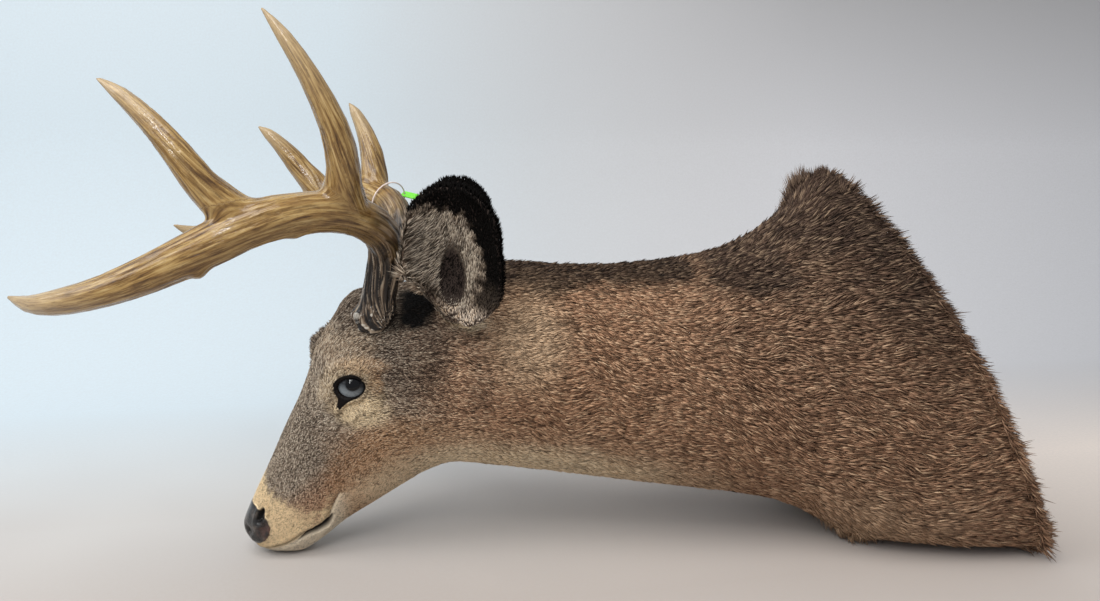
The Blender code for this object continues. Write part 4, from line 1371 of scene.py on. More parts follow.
def evened(chain, rounds=14):
    """Equal steps along a chain, with its small kinks smoothed away."""
    for _ in range(2):
        run = distance_along(chain)
        even = np.linspace(0.0, run[-1], int(run[-1] / LINE_STEP) + 2)
        chain = np.stack([np.interp(even, run, chain[:, k]) for k in range(3)], axis=1)
        for _ in range(rounds):
            chain[1:-1] = chain[1:-1] * 0.5 + (chain[:-2] + chain[2:]) * 0.25
    return chain


def gaps_to(points, line):
    """Distance from each point to the nearest point of a line."""
    return np.linalg.norm(points[:, None] - line[None], axis=2).min(axis=1)


def antler_lines(side):
    """For each branch, the points of its centre line from root to tip."""
    lines = {}
    for branch, parts in BRANCHES.items():
        chain = []
        for part in parts:
            points = points_of(frame["nodes"][f"antler_{side}_{part}"].data)
            if chain:
                start = chain[-1][-1]
            elif branch == "beam":
                start = points[points[:, 2].argmin()]
            else:
                start = points[gaps_to(points, lines["beam"]).argmin()]
            end = points[norms(points - start).argmax()]
            stations = max(6, int(np.linalg.norm(end - start) * STATIONS_PER_METRE))
            chain.append(centre_line(points, start, end, stations))
        lines[branch] = evened(np.concatenate(chain))
    return lines


def line_frames(line):
    """Two sideways directions that don't twist, at each point of a line."""
    ways = np.gradient(line, axis=0)
    ways /= norms(ways)[:, None]
    sideways = np.cross(ways[0], [0.3, 0.2, 1.0])
    frames = []
    for way in ways:
        sideways = sideways - way * (sideways @ way)
        sideways /= np.linalg.norm(sideways)
        frames.append((sideways, np.cross(way, sideways)))
    return np.array(frames)


lines = {side: antler_lines(side) for side in SIDES}
for side in SIDES:
    print(side, {name: round(float(distance_along(line)[-1]), 3) for name, line in lines[side].items()})


# %% Straightened coordinates on an antler
FORK_BLEND = 0.45


def straightened_on(points, line, number):
    """Each point as if one branch were a straight round rod: two coordinates on the unit circle and
    one along it. Then the distance along it and the distance from its middle."""
    run, frames = distance_along(line), line_frames(line)
    gap = np.full(len(points), 1e9)
    straight = np.zeros((len(points), 3))
    for i in range(len(line) - 1):
        step = line[i + 1] - line[i]
        t = (points - line[i]) @ step / (step @ step)
        t = np.clip(t, -3.0 if i == 0 and number == 0 else 0.0, 4.0 if i == len(line) - 2 else 1.0)
        offset = points - line[i] - t[:, None] * step
        distance = norms(offset)
        mine = distance < gap
        gap[mine] = distance[mine]
        mix = np.clip(t[mine], 0.0, 1.0)[:, None, None]
        axes = frames[i][None] * (1.0 - mix) + frames[i + 1][None] * mix
        circle = np.einsum("ij,ikj->ik", offset[mine], axes)
        circle /= np.maximum(norms(circle), 1e-5)[:, None]
        straight[mine] = np.column_stack([circle, run[i] + t[mine] * np.linalg.norm(step)])
    return straight, straight[:, 2] / run[-1], gap


def straightened(points, branches, thickness):
    """The same for the nearest branch, and for the next nearest, which fades in round each fork."""
    all_straight, all_share, all_gap = [], [], []
    for number, line in enumerate(branches.values()):
        straight, share, gap = straightened_on(points, line, number)
        all_straight.append(straight + np.array((0.0, 0.0, number * 1.7)))
        all_share.append(share)
        all_gap.append(gap / thickness[number])
    order = np.argsort(np.array(all_gap), axis=0)
    rows = np.arange(len(points))
    first, second = order[0], order[1]
    difference = np.array(all_gap)[second, rows] - np.array(all_gap)[first, rows]
    fork = 0.5 * ease(difference, FORK_BLEND, 0.0)
    all_straight, all_share = np.array(all_straight), np.array(all_share)
    return all_straight[first, rows], all_straight[second, rows], all_share[first, rows], first, fork


# %% [markdown]
# ## The antlers' relief and finish
# Near the burr the grooves are deep and beaded. The same relief decides the colour: dark in the
# grooves, pale on the beads and at the tips.

# %% Carve the antlers
ANTLER_VOXEL = 1.35 * MM
ANTLER_SMOOTH = 5
THICKNESS = (0.0165, 0.0120, 0.0120)  # of the beam and the tines, from the middle
WEB_FLARE, WEB_REACH = 0.62, 0.013
WEB_SHARE = {"left": 1.0, "right": 0.75}
BEAD_SIZE = 0.21
KNOBS = ((0.186, 0.0018), (0.268, 0.0045))  # distance along the beam, and height
KNOB_REACH = 0.0065


def antler_relief(points, straight, share, which, knobs):
    """How far each point of an antler is pushed out: grooves, flutes, beads and knobs."""
    on_beam = which == 0
    run = np.where(on_beam, straight[:, 2], 0.20)
    rough = ease(run, 0.135, 0.060) * on_beam
    calm = 1.0 - ease(share, 0.45, 0.95) * 0.85
    waves, grooves, beads = (np.zeros(len(points)) for _ in range(3))
    for i, (x, y, z) in enumerate(straight):
        sway = noise.noise((x * 0.9, y * 0.9, z * 7.0))
        waves[i] = noise.noise((x * 2.2 + sway, y * 2.2, z * 11.0))
        grooves[i] = noise.noise((x * 4.6 + sway * 2.0, y * 4.6, z * 16.0 + 5.0))
        if run[i] < 0.030:
            distance = noise.voronoi(Vector((x, y, z * 62.0)) / BEAD_SIZE)[0][0]
            beads[i] = max(0.0, 1.0 - (distance / 0.60) ** 2)
    grooves = np.exp(-(grooves / 0.10) ** 2)
    beads *= ease(run, 0.016, 0.007)
    push = waves * (1.9 * rough + 0.8 * calm * (1.0 - rough)) \
        - grooves * (2.1 * rough + 0.65 * calm * (1.0 - rough))
    push += beads * 1.4 + hump(run, 0.008, 0.007) * on_beam * (1.2 + 0.8 * beads)
    push = push * MM
    for place, height in knobs:
        push += height * hump(norms(points - place), 0.0, KNOB_REACH)
    return push, beads


# %% The antlers' finish
horn = Finish("antler", Roughness=0.30, Coat_Weight=0.6, Coat_Roughness=0.12, Specular_IOR_Level=0.3)
grain = horn.attribute("grain", "Vector")
relief_share, tip_share, root_share = (horn.attribute(name) for name in ("relief", "tip", "root"))
grain_beyond, fork_share = horn.attribute("grain_beyond", "Vector"), horn.attribute("fork")


def along_grain(scale, detail, roughness=0.6):
    """Noise drawn out along the branch, faded into the next branch's round a fork."""
    here = horn.speckle(horn.place(scale, grain), detail=detail, roughness=roughness)
    beyond = horn.speckle(horn.place(scale, grain_beyond), detail=detail, roughness=roughness)
    return here * (1.0 - fork_share) + beyond * fork_share


streak = along_grain((7.0, 7.0, 34.0), 5.0)
hairline = along_grain((19.0, 19.0, 90.0), 3.0, 0.7)
ridges = along_grain((7.5, 7.5, 26.0), 3.0)
patch = horn.speckle(horn.place((26.0, 26.0, 26.0)), detail=2.0)
polished = horn.layers(
    horn.ramp(streak, [(0.32, (0.060, 0.027, 0.008)), (0.45, (0.215, 0.118, 0.034)),
                       (0.56, (0.370, 0.238, 0.084)), (0.72, (0.52, 0.37, 0.170))]),
    (rgb(0.56, 0.43, 0.26), (tip_share * 0.62 + patch * 0.3 - 0.2).clamped()),
    (rgb(0.050, 0.027, 0.010), ((0.5 - relief_share) * 1.6).clamped() * 0.85),
    (rgb(0.07, 0.034, 0.010), ((hairline - 0.53) * 7.0).clamped() * 0.65))
on_beads = ((horn.attribute("bead") - 0.50) * 5.0).clamped() * ((streak - 0.44) * 6.0).clamped()
near_burr = horn.layers(
    horn.ramp(ridges, [(0.44, (0.008, 0.006, 0.005)), (0.52, (0.12, 0.080, 0.050)),
                       (0.62, (0.36, 0.285, 0.205))]),
    (rgb(0.010, 0.007, 0.006), ((0.58 - relief_share) * 2.4).clamped()),
    (rgb(0.70, 0.65, 0.56), on_beads))
horn.feed(Base_Color=horn.blend(polished, near_burr, root_share),
          Roughness=0.25 + 0.28 * root_share, Coat_Weight=0.48 - 0.2 * root_share,
          Normal=horn.bump(streak + hairline * 0.5, 0.7 * MM, 0.8))


# %% Build the antlers
def at_distance(line, distance):
    run = distance_along(line)
    return np.array([np.interp(distance, run, line[:, k]) for k in range(3)])


def fill_forks(bm, side):
    """Balls along the first part of each tine, so that the forks web; where they start."""
    beam = lines[side]["beam"]
    forks = []
    for branch, thick in (("rear_tine", THICKNESS[1]), ("front_tine", THICKNESS[2])):
        line = lines[side][branch]
        near = beam[norms(beam - line[0]).argmin()]
        path = np.concatenate([[near], evened(np.concatenate([[near], line[:6]]), rounds=2)])
        forks.append(line[1])
        for distance in np.arange(0.006, 0.046, 0.004):
            flare = 0.86 + WEB_FLARE * math.exp(-max(distance - THICKNESS[0], 0.0) / WEB_REACH)
            bmesh.ops.create_icosphere(bm, subdivisions=3, radius=thick * flare * WEB_SHARE[side],
                                       matrix=Matrix.Translation(Vector(at_distance(path, distance))))
    return forks


def make_antler(side):
    bm = bmesh.new()
    nodes = [f"antler_{side}_{part}" for parts in BRANCHES.values() for part in parts]
    for node in nodes:
        add_node_copy(bm, node)
    bmesh.ops.remove_doubles(bm, verts=bm.verts, dist=1e-5)
    forks = fill_forks(bm, side)
    mesh = remeshed(bm, ANTLER_VOXEL, ANTLER_SMOOTH)
    to_fork = np.min([norms(points_of(mesh) - fork) for fork in forks], axis=0)
    relax(mesh, ease(to_fork, 0.034, 0.018), 70)
    points, normals = points_of(mesh), normals_of(mesh)
    knobs = []
    for distance, height in KNOBS:
        below = at_distance(lines[side]["beam"], distance)
        below = below + np.array((0.0, SIDES[side] * 0.006, -0.012))
        knobs.append((points[norms(points - below).argmin()], height))
    straight, beyond, share, which, fork = straightened(points, lines[side], THICKNESS)
    push, beads = antler_relief(points, straight, share, which, knobs)
    push *= 1.0 - fork * 1.6
    set_points(mesh, points + normals * (push + 0.25 * MM)[:, None])
    mesh.shade_smooth()
    store_vectors(mesh, "grain", straight)
    store_vectors(mesh, "grain_beyond", beyond)
    store(mesh, "fork", fork)
    store(mesh, "relief", np.clip(0.62 + push / (2.2 * MM), 0.0, 1.0))
    store(mesh, "tip", np.where(which == 0, ease(share, 0.70, 1.0), ease(share, 0.35, 1.0)))
    run = np.where(which == 0, straight[:, 2], 1.0)
    store(mesh, "root", ease(run + ripple(points, 0.02, 5) * 0.012, 0.150, 0.070))
    store(mesh, "bead", beads)
    antler = new_piece("antler_" + side, mesh, horn.material)
    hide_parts(*nodes)
    return antler


for side in SIDES:
    antler = make_antler(side)
    print(antler.name, len(antler.data.polygons), "faces")

# %% [markdown]
# ## The coat
# Autumn deer hair is hollow and stiff: short on the face, about 12 mm on the neck and 20 mm on the
# shoulders, and it lies back along the body like thatch. Every lock here is a closed sliver of four
# triangles, rooted in the skin, widest and highest before its middle. Numpy scatters the roots over
# the skin's triangles and builds all slivers of one piece at once.


# %% Roots on the skin
def unit(vectors):
    return vectors / np.maximum(norms(vectors), 1e-9)[:, None]


def triangles_of(mesh):
    mesh.calc_loop_triangles()
    corners = np.empty(len(mesh.loop_triangles) * 3, np.int32)
    mesh.loop_triangles.foreach_get("vertices", corners)
    return corners.reshape(-1, 3)


skin_points, skin_normals = points_of(skin_mesh), normals_of(skin_mesh)
skin_triangles = triangles_of(skin_mesh)
triangle_centres = skin_points[skin_triangles].mean(axis=1)
triangle_normals = unit(skin_normals[skin_triangles].mean(axis=1))
sides_a = skin_points[skin_triangles[:, 1]] - skin_points[skin_triangles[:, 0]]
sides_b = skin_points[skin_triangles[:, 2]] - skin_points[skin_triangles[:, 0]]
triangle_areas = norms(np.cross(sides_a, sides_b)) / 2
ear_of_corner = ear_on[skin_triangles]
triangle_ear = np.where((ear_of_corner != 0).sum(axis=1) >= 2,
                        ear_of_corner.min(axis=1) + ear_of_corner.max(axis=1), 0.0)
print("skin area:", round(float(triangle_areas.sum()), 3), "square metres,", len(skin_triangles),
      "triangles")


class Roots:
    """Places on the skin where hair grows, as dense as weight says, each inside one triangle."""

    def __init__(self, weight, count, seed):
        self.count = count
        self.rng = np.random.default_rng(seed)
        total = np.cumsum(triangle_areas * weight)
        picks = (np.arange(count) + self.rng.random(count)) / count * total[-1]
        chosen = np.minimum(np.searchsorted(total, picks), len(total) - 1)
        u, v = self.rng.random(count), self.rng.random(count)
        flip = u + v > 1.0
        u[flip], v[flip] = 1.0 - u[flip], 1.0 - v[flip]
        self.corners = skin_triangles[chosen]
        self.mix = np.stack([1.0 - u - v, u, v], axis=1)
        self.points = self.carry(skin_points)
        self.normals = unit(self.carry(skin_normals))

    def carry(self, values):
        """Values of the skin's points, mixed for each root."""
        mix = self.mix if values.ndim == 1 else self.mix[:, :, None]
        return (values[self.corners] * mix).sum(axis=1)

    def vary(self, low, high):
        return self.rng.uniform(low, high, self.count)


# %% [markdown]
# ## Which way the hair lies
# Hair lies back along the body, sinks down the flanks and parts round the eyes. Neighbouring locks
# share a shade in long thin patches that follow this lie, because real hair clumps that way.


# %% The lie of the coat
def flatten_on(vectors, normals):
    """Vectors turned into the plane of the skin."""
    return unit(vectors - normals * dots(vectors, normals)[:, None])


def lifted_off(ways, normals, least):
    """Ways turned so that each points out of the skin by at least a share of its length."""
    short = np.minimum(dots(ways, normals) - least, 0.0)
    return unit(ways - normals * short[:, None])


def lie_of_coat(points, normals):
    """The way the hair points: back along the body, sinking a little down the flanks."""
    run, top, _, back = along_body(points)
    sink = ease(run, 0.30, 0.55) * 0.34 * (1.0 - np.abs(top))
    ways = back - np.array(UP) * sink[:, None]
    behind_ear = np.exp(-((points[:, 0] - 0.06) / 0.07) ** 2
                        - ((points[:, 2] - 0.30) / 0.05) ** 2)
    ways = ways - np.array(UP) * (behind_ear * 0.45)[:, None]
    wave = ripple(points, 0.045, 11) * 0.20 \
        + ripple(points, 0.010, 12) * 0.26 * ease(run, 0.10, 0.35)
    for side in SIDES:
        from_eye = points - np.array(glass_centres[side])
        distance = norms(from_eye)
        near = ease(distance, 0.052, 0.026) * 1.1
        ways = ways + unit(from_eye) * near[:, None]
    sideways = np.cross(normals, flatten_on(ways, normals))
    return flatten_on(flatten_on(ways, normals) + sideways * wave[:, None], normals)


def turn_round_body(points):
    """Angle round the body line from its top, positive to the deer's right, and the run along it."""
    run, top, rightward, _ = along_body(points)
    return np.arctan2(np.sign(rightward) * np.sqrt(1.0 - top ** 2), top), run


def plane_noise(u, v, seed):
    """Smooth random values from -1 to 1, one lattice cell for each unit."""
    table = np.random.default_rng(seed).uniform(-1.0, 1.0, (256, 256))
    i, j = np.floor(u).astype(int), np.floor(v).astype(int)
    s, t = ease(u - i, 0.0, 1.0), ease(v - j, 0.0, 1.0)
    near = table[i & 255, j & 255] * (1.0 - s) + table[(i + 1) & 255, j & 255] * s
    far = table[i & 255, (j + 1) & 255] * (1.0 - s) \
        + table[(i + 1) & 255, (j + 1) & 255] * s
    return near * (1.0 - t) + far * t


# %% Shades that neighbours share
STRAND_LENGTH, STRAND_WIDTH = 0.0090, 0.0017
STRAND_RUN = (0.0, 0.15, 0.26, 0.40, 0.60)
LONGER_STRANDS, WIDER_STRANDS = (0.36, 0.40, 0.60, 0.85, 0.85), (0.75, 0.75, 0.80, 0.85, 0.80)


def strands(points):
    """-1 to 1 in long thin patches that follow the lie, so that neighbouring locks share a shade."""
    turn, run = turn_round_body(points)
    around = turn * np.interp(run, (0.0, 0.2, 0.4, 0.8), (0.035, 0.07, 0.09, 0.15))
    along = run / (STRAND_LENGTH * np.interp(run, STRAND_RUN, LONGER_STRANDS))
    aside = around / (STRAND_WIDTH * np.interp(run, STRAND_RUN, WIDER_STRANDS))
    sway = ripple(points, 0.020, 14) * 0.8
    coarse = plane_noise(along, aside + sway, 15)
    fine = plane_noise(along / 0.5, aside / 0.55 + sway * 2.0, 16)
    return np.clip((coarse * 0.60 + fine * 0.60) * 1.5, -1.0, 1.0)


# %% [markdown]
# ## Locks
# A lock is a flat sliver with a crest: root, two sides and tip. Its finish reads how far along the
# lock it is and how light the lock is. Each also has a small patch of an unrolled skin, for textures.

# %% Build the locks of one piece
LOCK_WIDEST = 0.42
LOCK_CURL = 0.25  # how much of its lift a lock still has at the tip
LOCK_SINK = 0.5 * MM  # of the root into the skin
TABLE_CLEARANCE = 0.35 * MM  # no lock reaches lower than this
PATCH_SIZE = 0.003  # of a lock's place on its texture
SHADE_RUN = (0.0, 0.22, 0.34, 0.60)  # how much of a lock's shade is its neighbours', and its own
SHADE_SHARED = (0.16, 0.20, 0.32, 0.20)
SHADE_SINGLE = (0.40, 0.38, 0.24, 0.22)
LOCK_FACES = ((0, 1, 2), (3, 2, 1), (0, 3, 1), (0, 2, 3))
LOCK_PATCH = ((0.0, -0.5), (-0.5, -0.05), (0.5, -0.05), (0.0, 0.5))


def body_unwrap(points):
    """A place for each root on an unrolled skin: round the body and along it, both 0 to 1."""
    spread = []
    for values in turn_round_body(points):
        low, high = values.min(), values.max()
        spread.append(0.01 + 0.98 * (values - low) / max(high - low, 1e-6))
    return np.stack(spread, axis=1)


def lock_corners(roots, ways, lengths, widths, lifts):
    """The root, the two sides and the tip of each lock."""
    points, normals = roots.points, roots.normals
    side = unit(np.cross(normals, ways))
    low = lifts * LOCK_CURL
    rising = unit(ways * np.cos(lifts)[:, None] + normals * np.sin(lifts)[:, None])
    settling = unit(ways * np.cos(low)[:, None] + normals * np.sin(low)[:, None])
    root = points - normals * LOCK_SINK - ways * (0.06 * lengths)[:, None]
    half = (widths / 2)[:, None]
    waist = points + rising * (lengths * LOCK_WIDEST)[:, None]
    tip = waist + settling * (lengths * (1.0 - LOCK_WIDEST))[:, None]
    crest = waist + normals * half * 0.5
    corners = np.stack([root, crest - side * half, crest + side * half, tip], axis=1)
    corners[:, :, 2] = np.maximum(corners[:, :, 2], TABLE_CLEARANCE)
    return corners


def lock_shades(roots, share, contrast):
    """How light each lock is, 0 to 1: partly its neighbours' shade and partly its own."""
    run = along_body(roots.points)[0]
    shared = np.interp(run, SHADE_RUN, SHADE_SHARED) * strands(roots.points)
    single = np.interp(run, SHADE_RUN, SHADE_SINGLE) * roots.rng.normal(size=roots.count)
    even = 1.0 - 0.50 * np.clip(share["cream"] + share["pale"], 0.0, 1.0)
    return np.clip(0.5 + contrast * (shared + single) * even, 0.0, 1.0)


def make_locks(name, roots, ways, lengths, widths, lifts, share, finish,
               contrast=1.0):
    """Closed slivers from the roots along ways. lifts is the angle off the skin, in radians."""
    count = roots.count
    lengths, widths, lifts = (np.broadcast_to(values, count).astype(float)
                              for values in (lengths, widths, lifts))
    corners = lock_corners(roots, ways, lengths, widths, lifts)
    faces = np.arange(count)[:, None, None] * 4 + np.array(LOCK_FACES)[None]
    faces = faces.reshape(-1, 3)
    mesh = bpy.data.meshes.new(name)
    mesh.vertices.add(count * 4)
    mesh.vertices.foreach_set("co", corners.astype(np.float32).ravel())
    mesh.loops.add(faces.size)
    mesh.loops.foreach_set("vertex_index", faces.astype(np.int32).ravel())
    mesh.polygons.add(len(faces))
    mesh.polygons.foreach_set("loop_start", np.arange(0, faces.size, 3, dtype=np.int32))
    mesh.update(calc_edges=True)
    mesh.shade_smooth()
    store_shares(mesh, {key: np.repeat(values, 4) for key, values in share.items()})
    store(mesh, "along", np.tile([0.0, LOCK_WIDEST, LOCK_WIDEST, 1.0], count))
    store(mesh, "lock", np.repeat(lock_shades(roots, share, contrast), 4))
    unwrap = mesh.uv_layers.new(name="OFBake")
    places = body_unwrap(roots.points)[:, None] + np.array(LOCK_PATCH)[None] * PATCH_SIZE
    places = places.reshape(-1, 2)[faces.ravel()]
    unwrap.data.foreach_set("uv", places.astype(np.float32).ravel())
    new_piece(name, mesh, finish)
    print(name, count, "locks,", len(faces), "triangles")


# %% The coat's finish
def coat_finish(name, base_shade, band_shade, tip_shade, wash=0.0, shine=0.18):
    """Hair that is dark at the root and light in a band before the tip, some locks far lighter."""
    hair = Finish(name, Roughness=0.68, Specular_IOR_Level=shine)
    along, lock = hair.attribute("along"), hair.attribute("lock")
    darker = hair.ramp(lock, [(0.0, (0.20, 0.19, 0.185)), (0.25, (0.50, 0.48, 0.47)),
                              (0.52, (1.0, 1.0, 1.0))])
    colour = mixed_coat_colour(hair, ((lock - 0.54) * 1.9).clamped() * 0.80, darker, wash)
    shade = hair.ramp(along, [(0.0, (base_shade,) * 3), (0.42, (0.85,) * 3),
                              (0.80, (band_shade,) * 3), (1.0, (tip_shade,) * 3)])
    hair.feed(Base_Color=hair.blend(colour, shade, 1.0, mode="MULTIPLY"))
    return hair.material


coat = coat_finish("coat", 0.28, 1.0, 0.85)

# %% [markdown]
# ## Where the hair grows
# Hair is longer and coarser the farther back it grows. The nose pad, the lips, the nostrils and
# the lids are bare, and a lock whose tip would cover one of them is cut short.

# %% Where the hair grows, and how long
HAIR_LENGTH = (  # along the body line, and in mm
    (0.0, 2.0), (0.05, 3.0), (0.14, 4.2), (0.24, 5.8), (0.32, 10.0), (0.42, 13.0), (0.60, 15.0),
    (0.80, 18.0))
HAIR_WIDTH = ((0.0, 0.55), (0.10, 0.80), (0.24, 0.95), (0.35, 1.10), (0.50, 1.20), (0.80, 1.25))


def inside_lids(points, margin):
    """True for points over an eye or its bare lids."""
    over = np.zeros(len(points), bool)
    for side in SIDES:
        radius, turn, height = eye_plane(points, side)
        over |= (radius < rim_outline(turn) + margin) & (height > 0.004) & (radius < EYE_REACH)
    return over


def furred(points, normals):
    """1 where the skin grows hair, 0 on the pad, lips, lids and the board's side."""
    forward, _, up = in_head(points)
    grows = ease(nose_pad(forward, up), 1.0, 1.05) * ~inside_lids(points, -0.6 * MM)
    return grows * (normals @ WALL_OUT < 0.55)


bare = np.clip(lips_open * 1.5 + lips_crease + nostril_share * 2.0, 0.0, 1.0)
bare = bare[skin_triangles].mean(axis=1)
grows = furred(triangle_centres, triangle_normals) * (triangle_ear == 0) * ease(bare, 0.5, 0.1)
run_of_triangle, top_of_triangle, right_of_triangle, _ = along_body(triangle_centres)
lock_size = reading(HAIR_LENGTH, run_of_triangle) * MM * (reading(HAIR_WIDTH, run_of_triangle) * MM)


def reach_to_wall(points, ways):
    """The longest a lock may be before it passes the board, by a little more in a few clusters."""
    over = 1.5 * MM + 18.0 * MM * ease(ripple(points, 0.012, 33), 0.35, 0.75)
    return np.maximum((wall_gap(points) + over) / np.maximum(ways @ WALL_OUT, 0.30), 2.5 * MM)


# %% The coat itself
REACHES = (  # name, from and to along the body line, locks, lifts
    ("face", -1.0, 0.15, 35000, (0.12, 0.34)), ("cheek", 0.15, 0.30, 36000, (0.14, 0.36)),
    ("neck_upper", 0.30, 0.44, 26000, (0.20, 0.50)),
    ("neck_lower", 0.44, 0.57, 23500, (0.20, 0.50)),
    ("shoulder", 0.57, 2.0, 36500, (0.20, 0.52)))
LOCKS_WAVER = 0.14


def thatch(name, where, count, seed, lift):
    """One piece of coat over the triangles that where marks."""
    roots = Roots(grows * where / lock_size, count, seed)
    run = along_body(roots.points)[0]
    ways = lie_of_coat(roots.points, roots.normals)
    sideways = np.cross(roots.normals, ways)
    waver = roots.rng.normal(size=count) * LOCKS_WAVER
    ways = flatten_on(ways + sideways * waver[:, None], roots.normals)
    lengths = reading(HAIR_LENGTH, run) * MM * roots.vary(0.70, 1.20)
    widths = reading(HAIR_WIDTH, run) * MM * roots.vary(0.65, 1.25)
    lifts = roots.vary(*lift) * (1.0 - 0.5 * ease(wall_gap(roots.points), 0.006, 0.002))
    tips = roots.points + ways * (lengths * 0.9)[:, None]
    forward, across, up = in_head(tips)
    covers = inside_lids(tips, -1.5 * MM) | (mouth_gap(forward, up, across) > 0.3)
    covers |= (nostril(forward, up) < 1.1) & (np.abs(across) > 0.012)
    lengths[covers] *= 0.30
    lengths = np.minimum(lengths, reach_to_wall(roots.points, ways))
    contrast = 1.0 + 0.10 * ease(run, 0.30, 0.22)
    make_locks(name, roots, ways, lengths, widths, lifts, markings(roots.points), coat,
               contrast=contrast)


FIRST_SEED = {"left": 20, "right": 40}
for side, here in (("left", right_of_triangle <= 0.0), ("right", right_of_triangle > 0.0)):
    for number, (reach, start, end, count, lift) in enumerate(REACHES):
        where = here & (run_of_triangle >= start) & (run_of_triangle < end)
        thatch(f"coat_{reach}_{side}", where, count, FIRST_SEED[side] + number, lift)

# %% [markdown]
# ## Ears
# A deer's ear is a cup of gristle. Its back and rim carry dense black-brown fur, thickest over the
# top, and long pale hairs grow from the edges of the cup across the dark canal.

# %% Hair on the ears
ear_coat = coat_finish("ear_coat", 0.40, 1.0, 0.9, wash=0.45, shine=0.04)
EAR_LOCKS = 14500


def ear_density(sign):
    """Where an ear's hair grows: all over it, and denser along its front edge."""
    sideways, inside, height = (values[skin_triangles].mean(axis=1)
                                for values in (ear_side, ear_inside, ear_height))
    front_edge = ease(sideways, 0.45, 0.80) * (np.abs(inside) < 0.55) * ease(height, 0.80, 0.65)
    return (triangle_ear * sign > 0) * (1.0 + front_edge * 1.6)


def ear_ways(roots, side, height, sideways, long_hair):
    """Short hair lies up and outwards along the ear, and the long hair crosses its cup."""
    _, _, rise, facing, frontward = ear_frame(side)
    normals = roots.normals
    outward = frontward[None] * sideways[:, None]
    rim = ease(ear_edge(height, sideways), 0.70, 0.95)
    short_ways = rise + outward * 0.7 * rim[:, None] \
        + normals * (0.25 * rim * ease(height, 0.2, 0.6))[:, None]
    inward = 0.35 + 1.1 * ease(sideways, -0.1, 0.9)
    long_ways = rise - frontward * inward[:, None] + facing * 0.15
    ways = np.where(long_hair[:, None], long_ways, short_ways)
    ways = unit(ways + roots.rng.normal(size=(roots.count, 3)) * 0.15)
    return lifted_off(ways, normals, 0.0)


def ear_hair(side, seed):
    """The hair of one ear as one piece."""
    sign = SIDES[side]
    roots = Roots(ear_density(sign), EAR_LOCKS, seed)
    count, rng = roots.count, roots.rng
    height, sideways, inside = (roots.carry(values) for values in (ear_height, ear_side, ear_inside))
    share = {name: np.zeros(count) for name in MARKINGS}
    share = colour_ears(share, roots.points, np.full(count, sign), height, sideways, inside)
    cup = inside > 0.10
    pale = ear_pale(height, sideways, roots.points) * cup
    hole = ear_canal(height, sideways) * cup
    long_hair = pale > 0.5
    ways = ear_ways(roots, side, height, sideways, long_hair)
    from_edge = (pale > 0.4) * ease(sideways, 0.15, 0.7)
    long_lengths = roots.vary(7.0, 11.0) + from_edge * roots.vary(2.0, 9.0)
    lengths = np.where(long_hair, long_lengths, roots.vary(4.0, 7.0)) * MM
    widths = np.where(long_hair, 0.75, 1.35) * roots.vary(0.7, 1.3) * MM
    lifts = np.where(long_hair, roots.vary(0.10, 0.45), roots.vary(0.08, 0.30))
    gone = (hole > 0.4) & (rng.random(count) < 0.8)
    lengths[gone] *= 0.3
    lengths *= 1.0 - 0.45 * ease(hole, 0.05, 0.40)
    dark = long_hair & (rng.random(count) < 0.22)
    black = np.where(dark, np.maximum(share["black"], 0.8), share["black"])
    browner = rng.random(count) < 0.22 * ease(pale, 0.06, 0.4) * (hole < 0.2)
    black = np.where((black > 0.5) & browner, 0.55, black)
    lobe_patch = ease(height, 0.20, 0.10) * ease(sideways, 0.5, 0.0)
    share["white"] = lobe_patch * 0.45
    share["black"] = black * (1.0 - lobe_patch)
    make_locks("coat_ear_" + side, roots, ways, lengths, widths, lifts, share, ear_coat,
               contrast=0.8)


ear_hair("left", 60)
ear_hair("right", 61)

# %% [markdown]
# ## Mane, withers and the cape's edge
# Along the top of the neck the hair is longer, nearly black, and stands a little. At the withers it
# ends in a rough tuft, and where the cape was cut, loose long hairs stick out all round the edge.

# %% Longer hair
TUFTS = (  # middle, reach, way, length in mm, locks
    ("withers_front", (0.268, -0.010, 0.374), 0.014, (-0.28, -0.05, 0.95), 25.0, 1500),
    ("withers_top", (0.286, -0.030, 0.394), 0.016, (0.0, -0.05, 1.00), 15.0, 1000),
    ("withers_rear", (0.302, -0.055, 0.392), 0.013, (0.30, -0.25, 0.90), 15.0, 900),
    ("brisket", (0.312, -0.080, 0.014), 0.019, (0.22, -0.15, -0.95), 21.0, 1600),
    ("brow", tuple(head_point(0.034, -0.012, 0.036)), 0.013, (-0.55, -0.10, 0.70), 6.5, 1300),
    ("ear_front_left", tuple(head_point(-0.063, -0.091, 0.111)), 0.010, (-0.35, 0.75, 0.30), 17.0, 900),
    ("ear_front_right", tuple(head_point(-0.063, 0.091, 0.111)), 0.010, (-0.35, -0.75, 0.30), 17.0, 900),
)


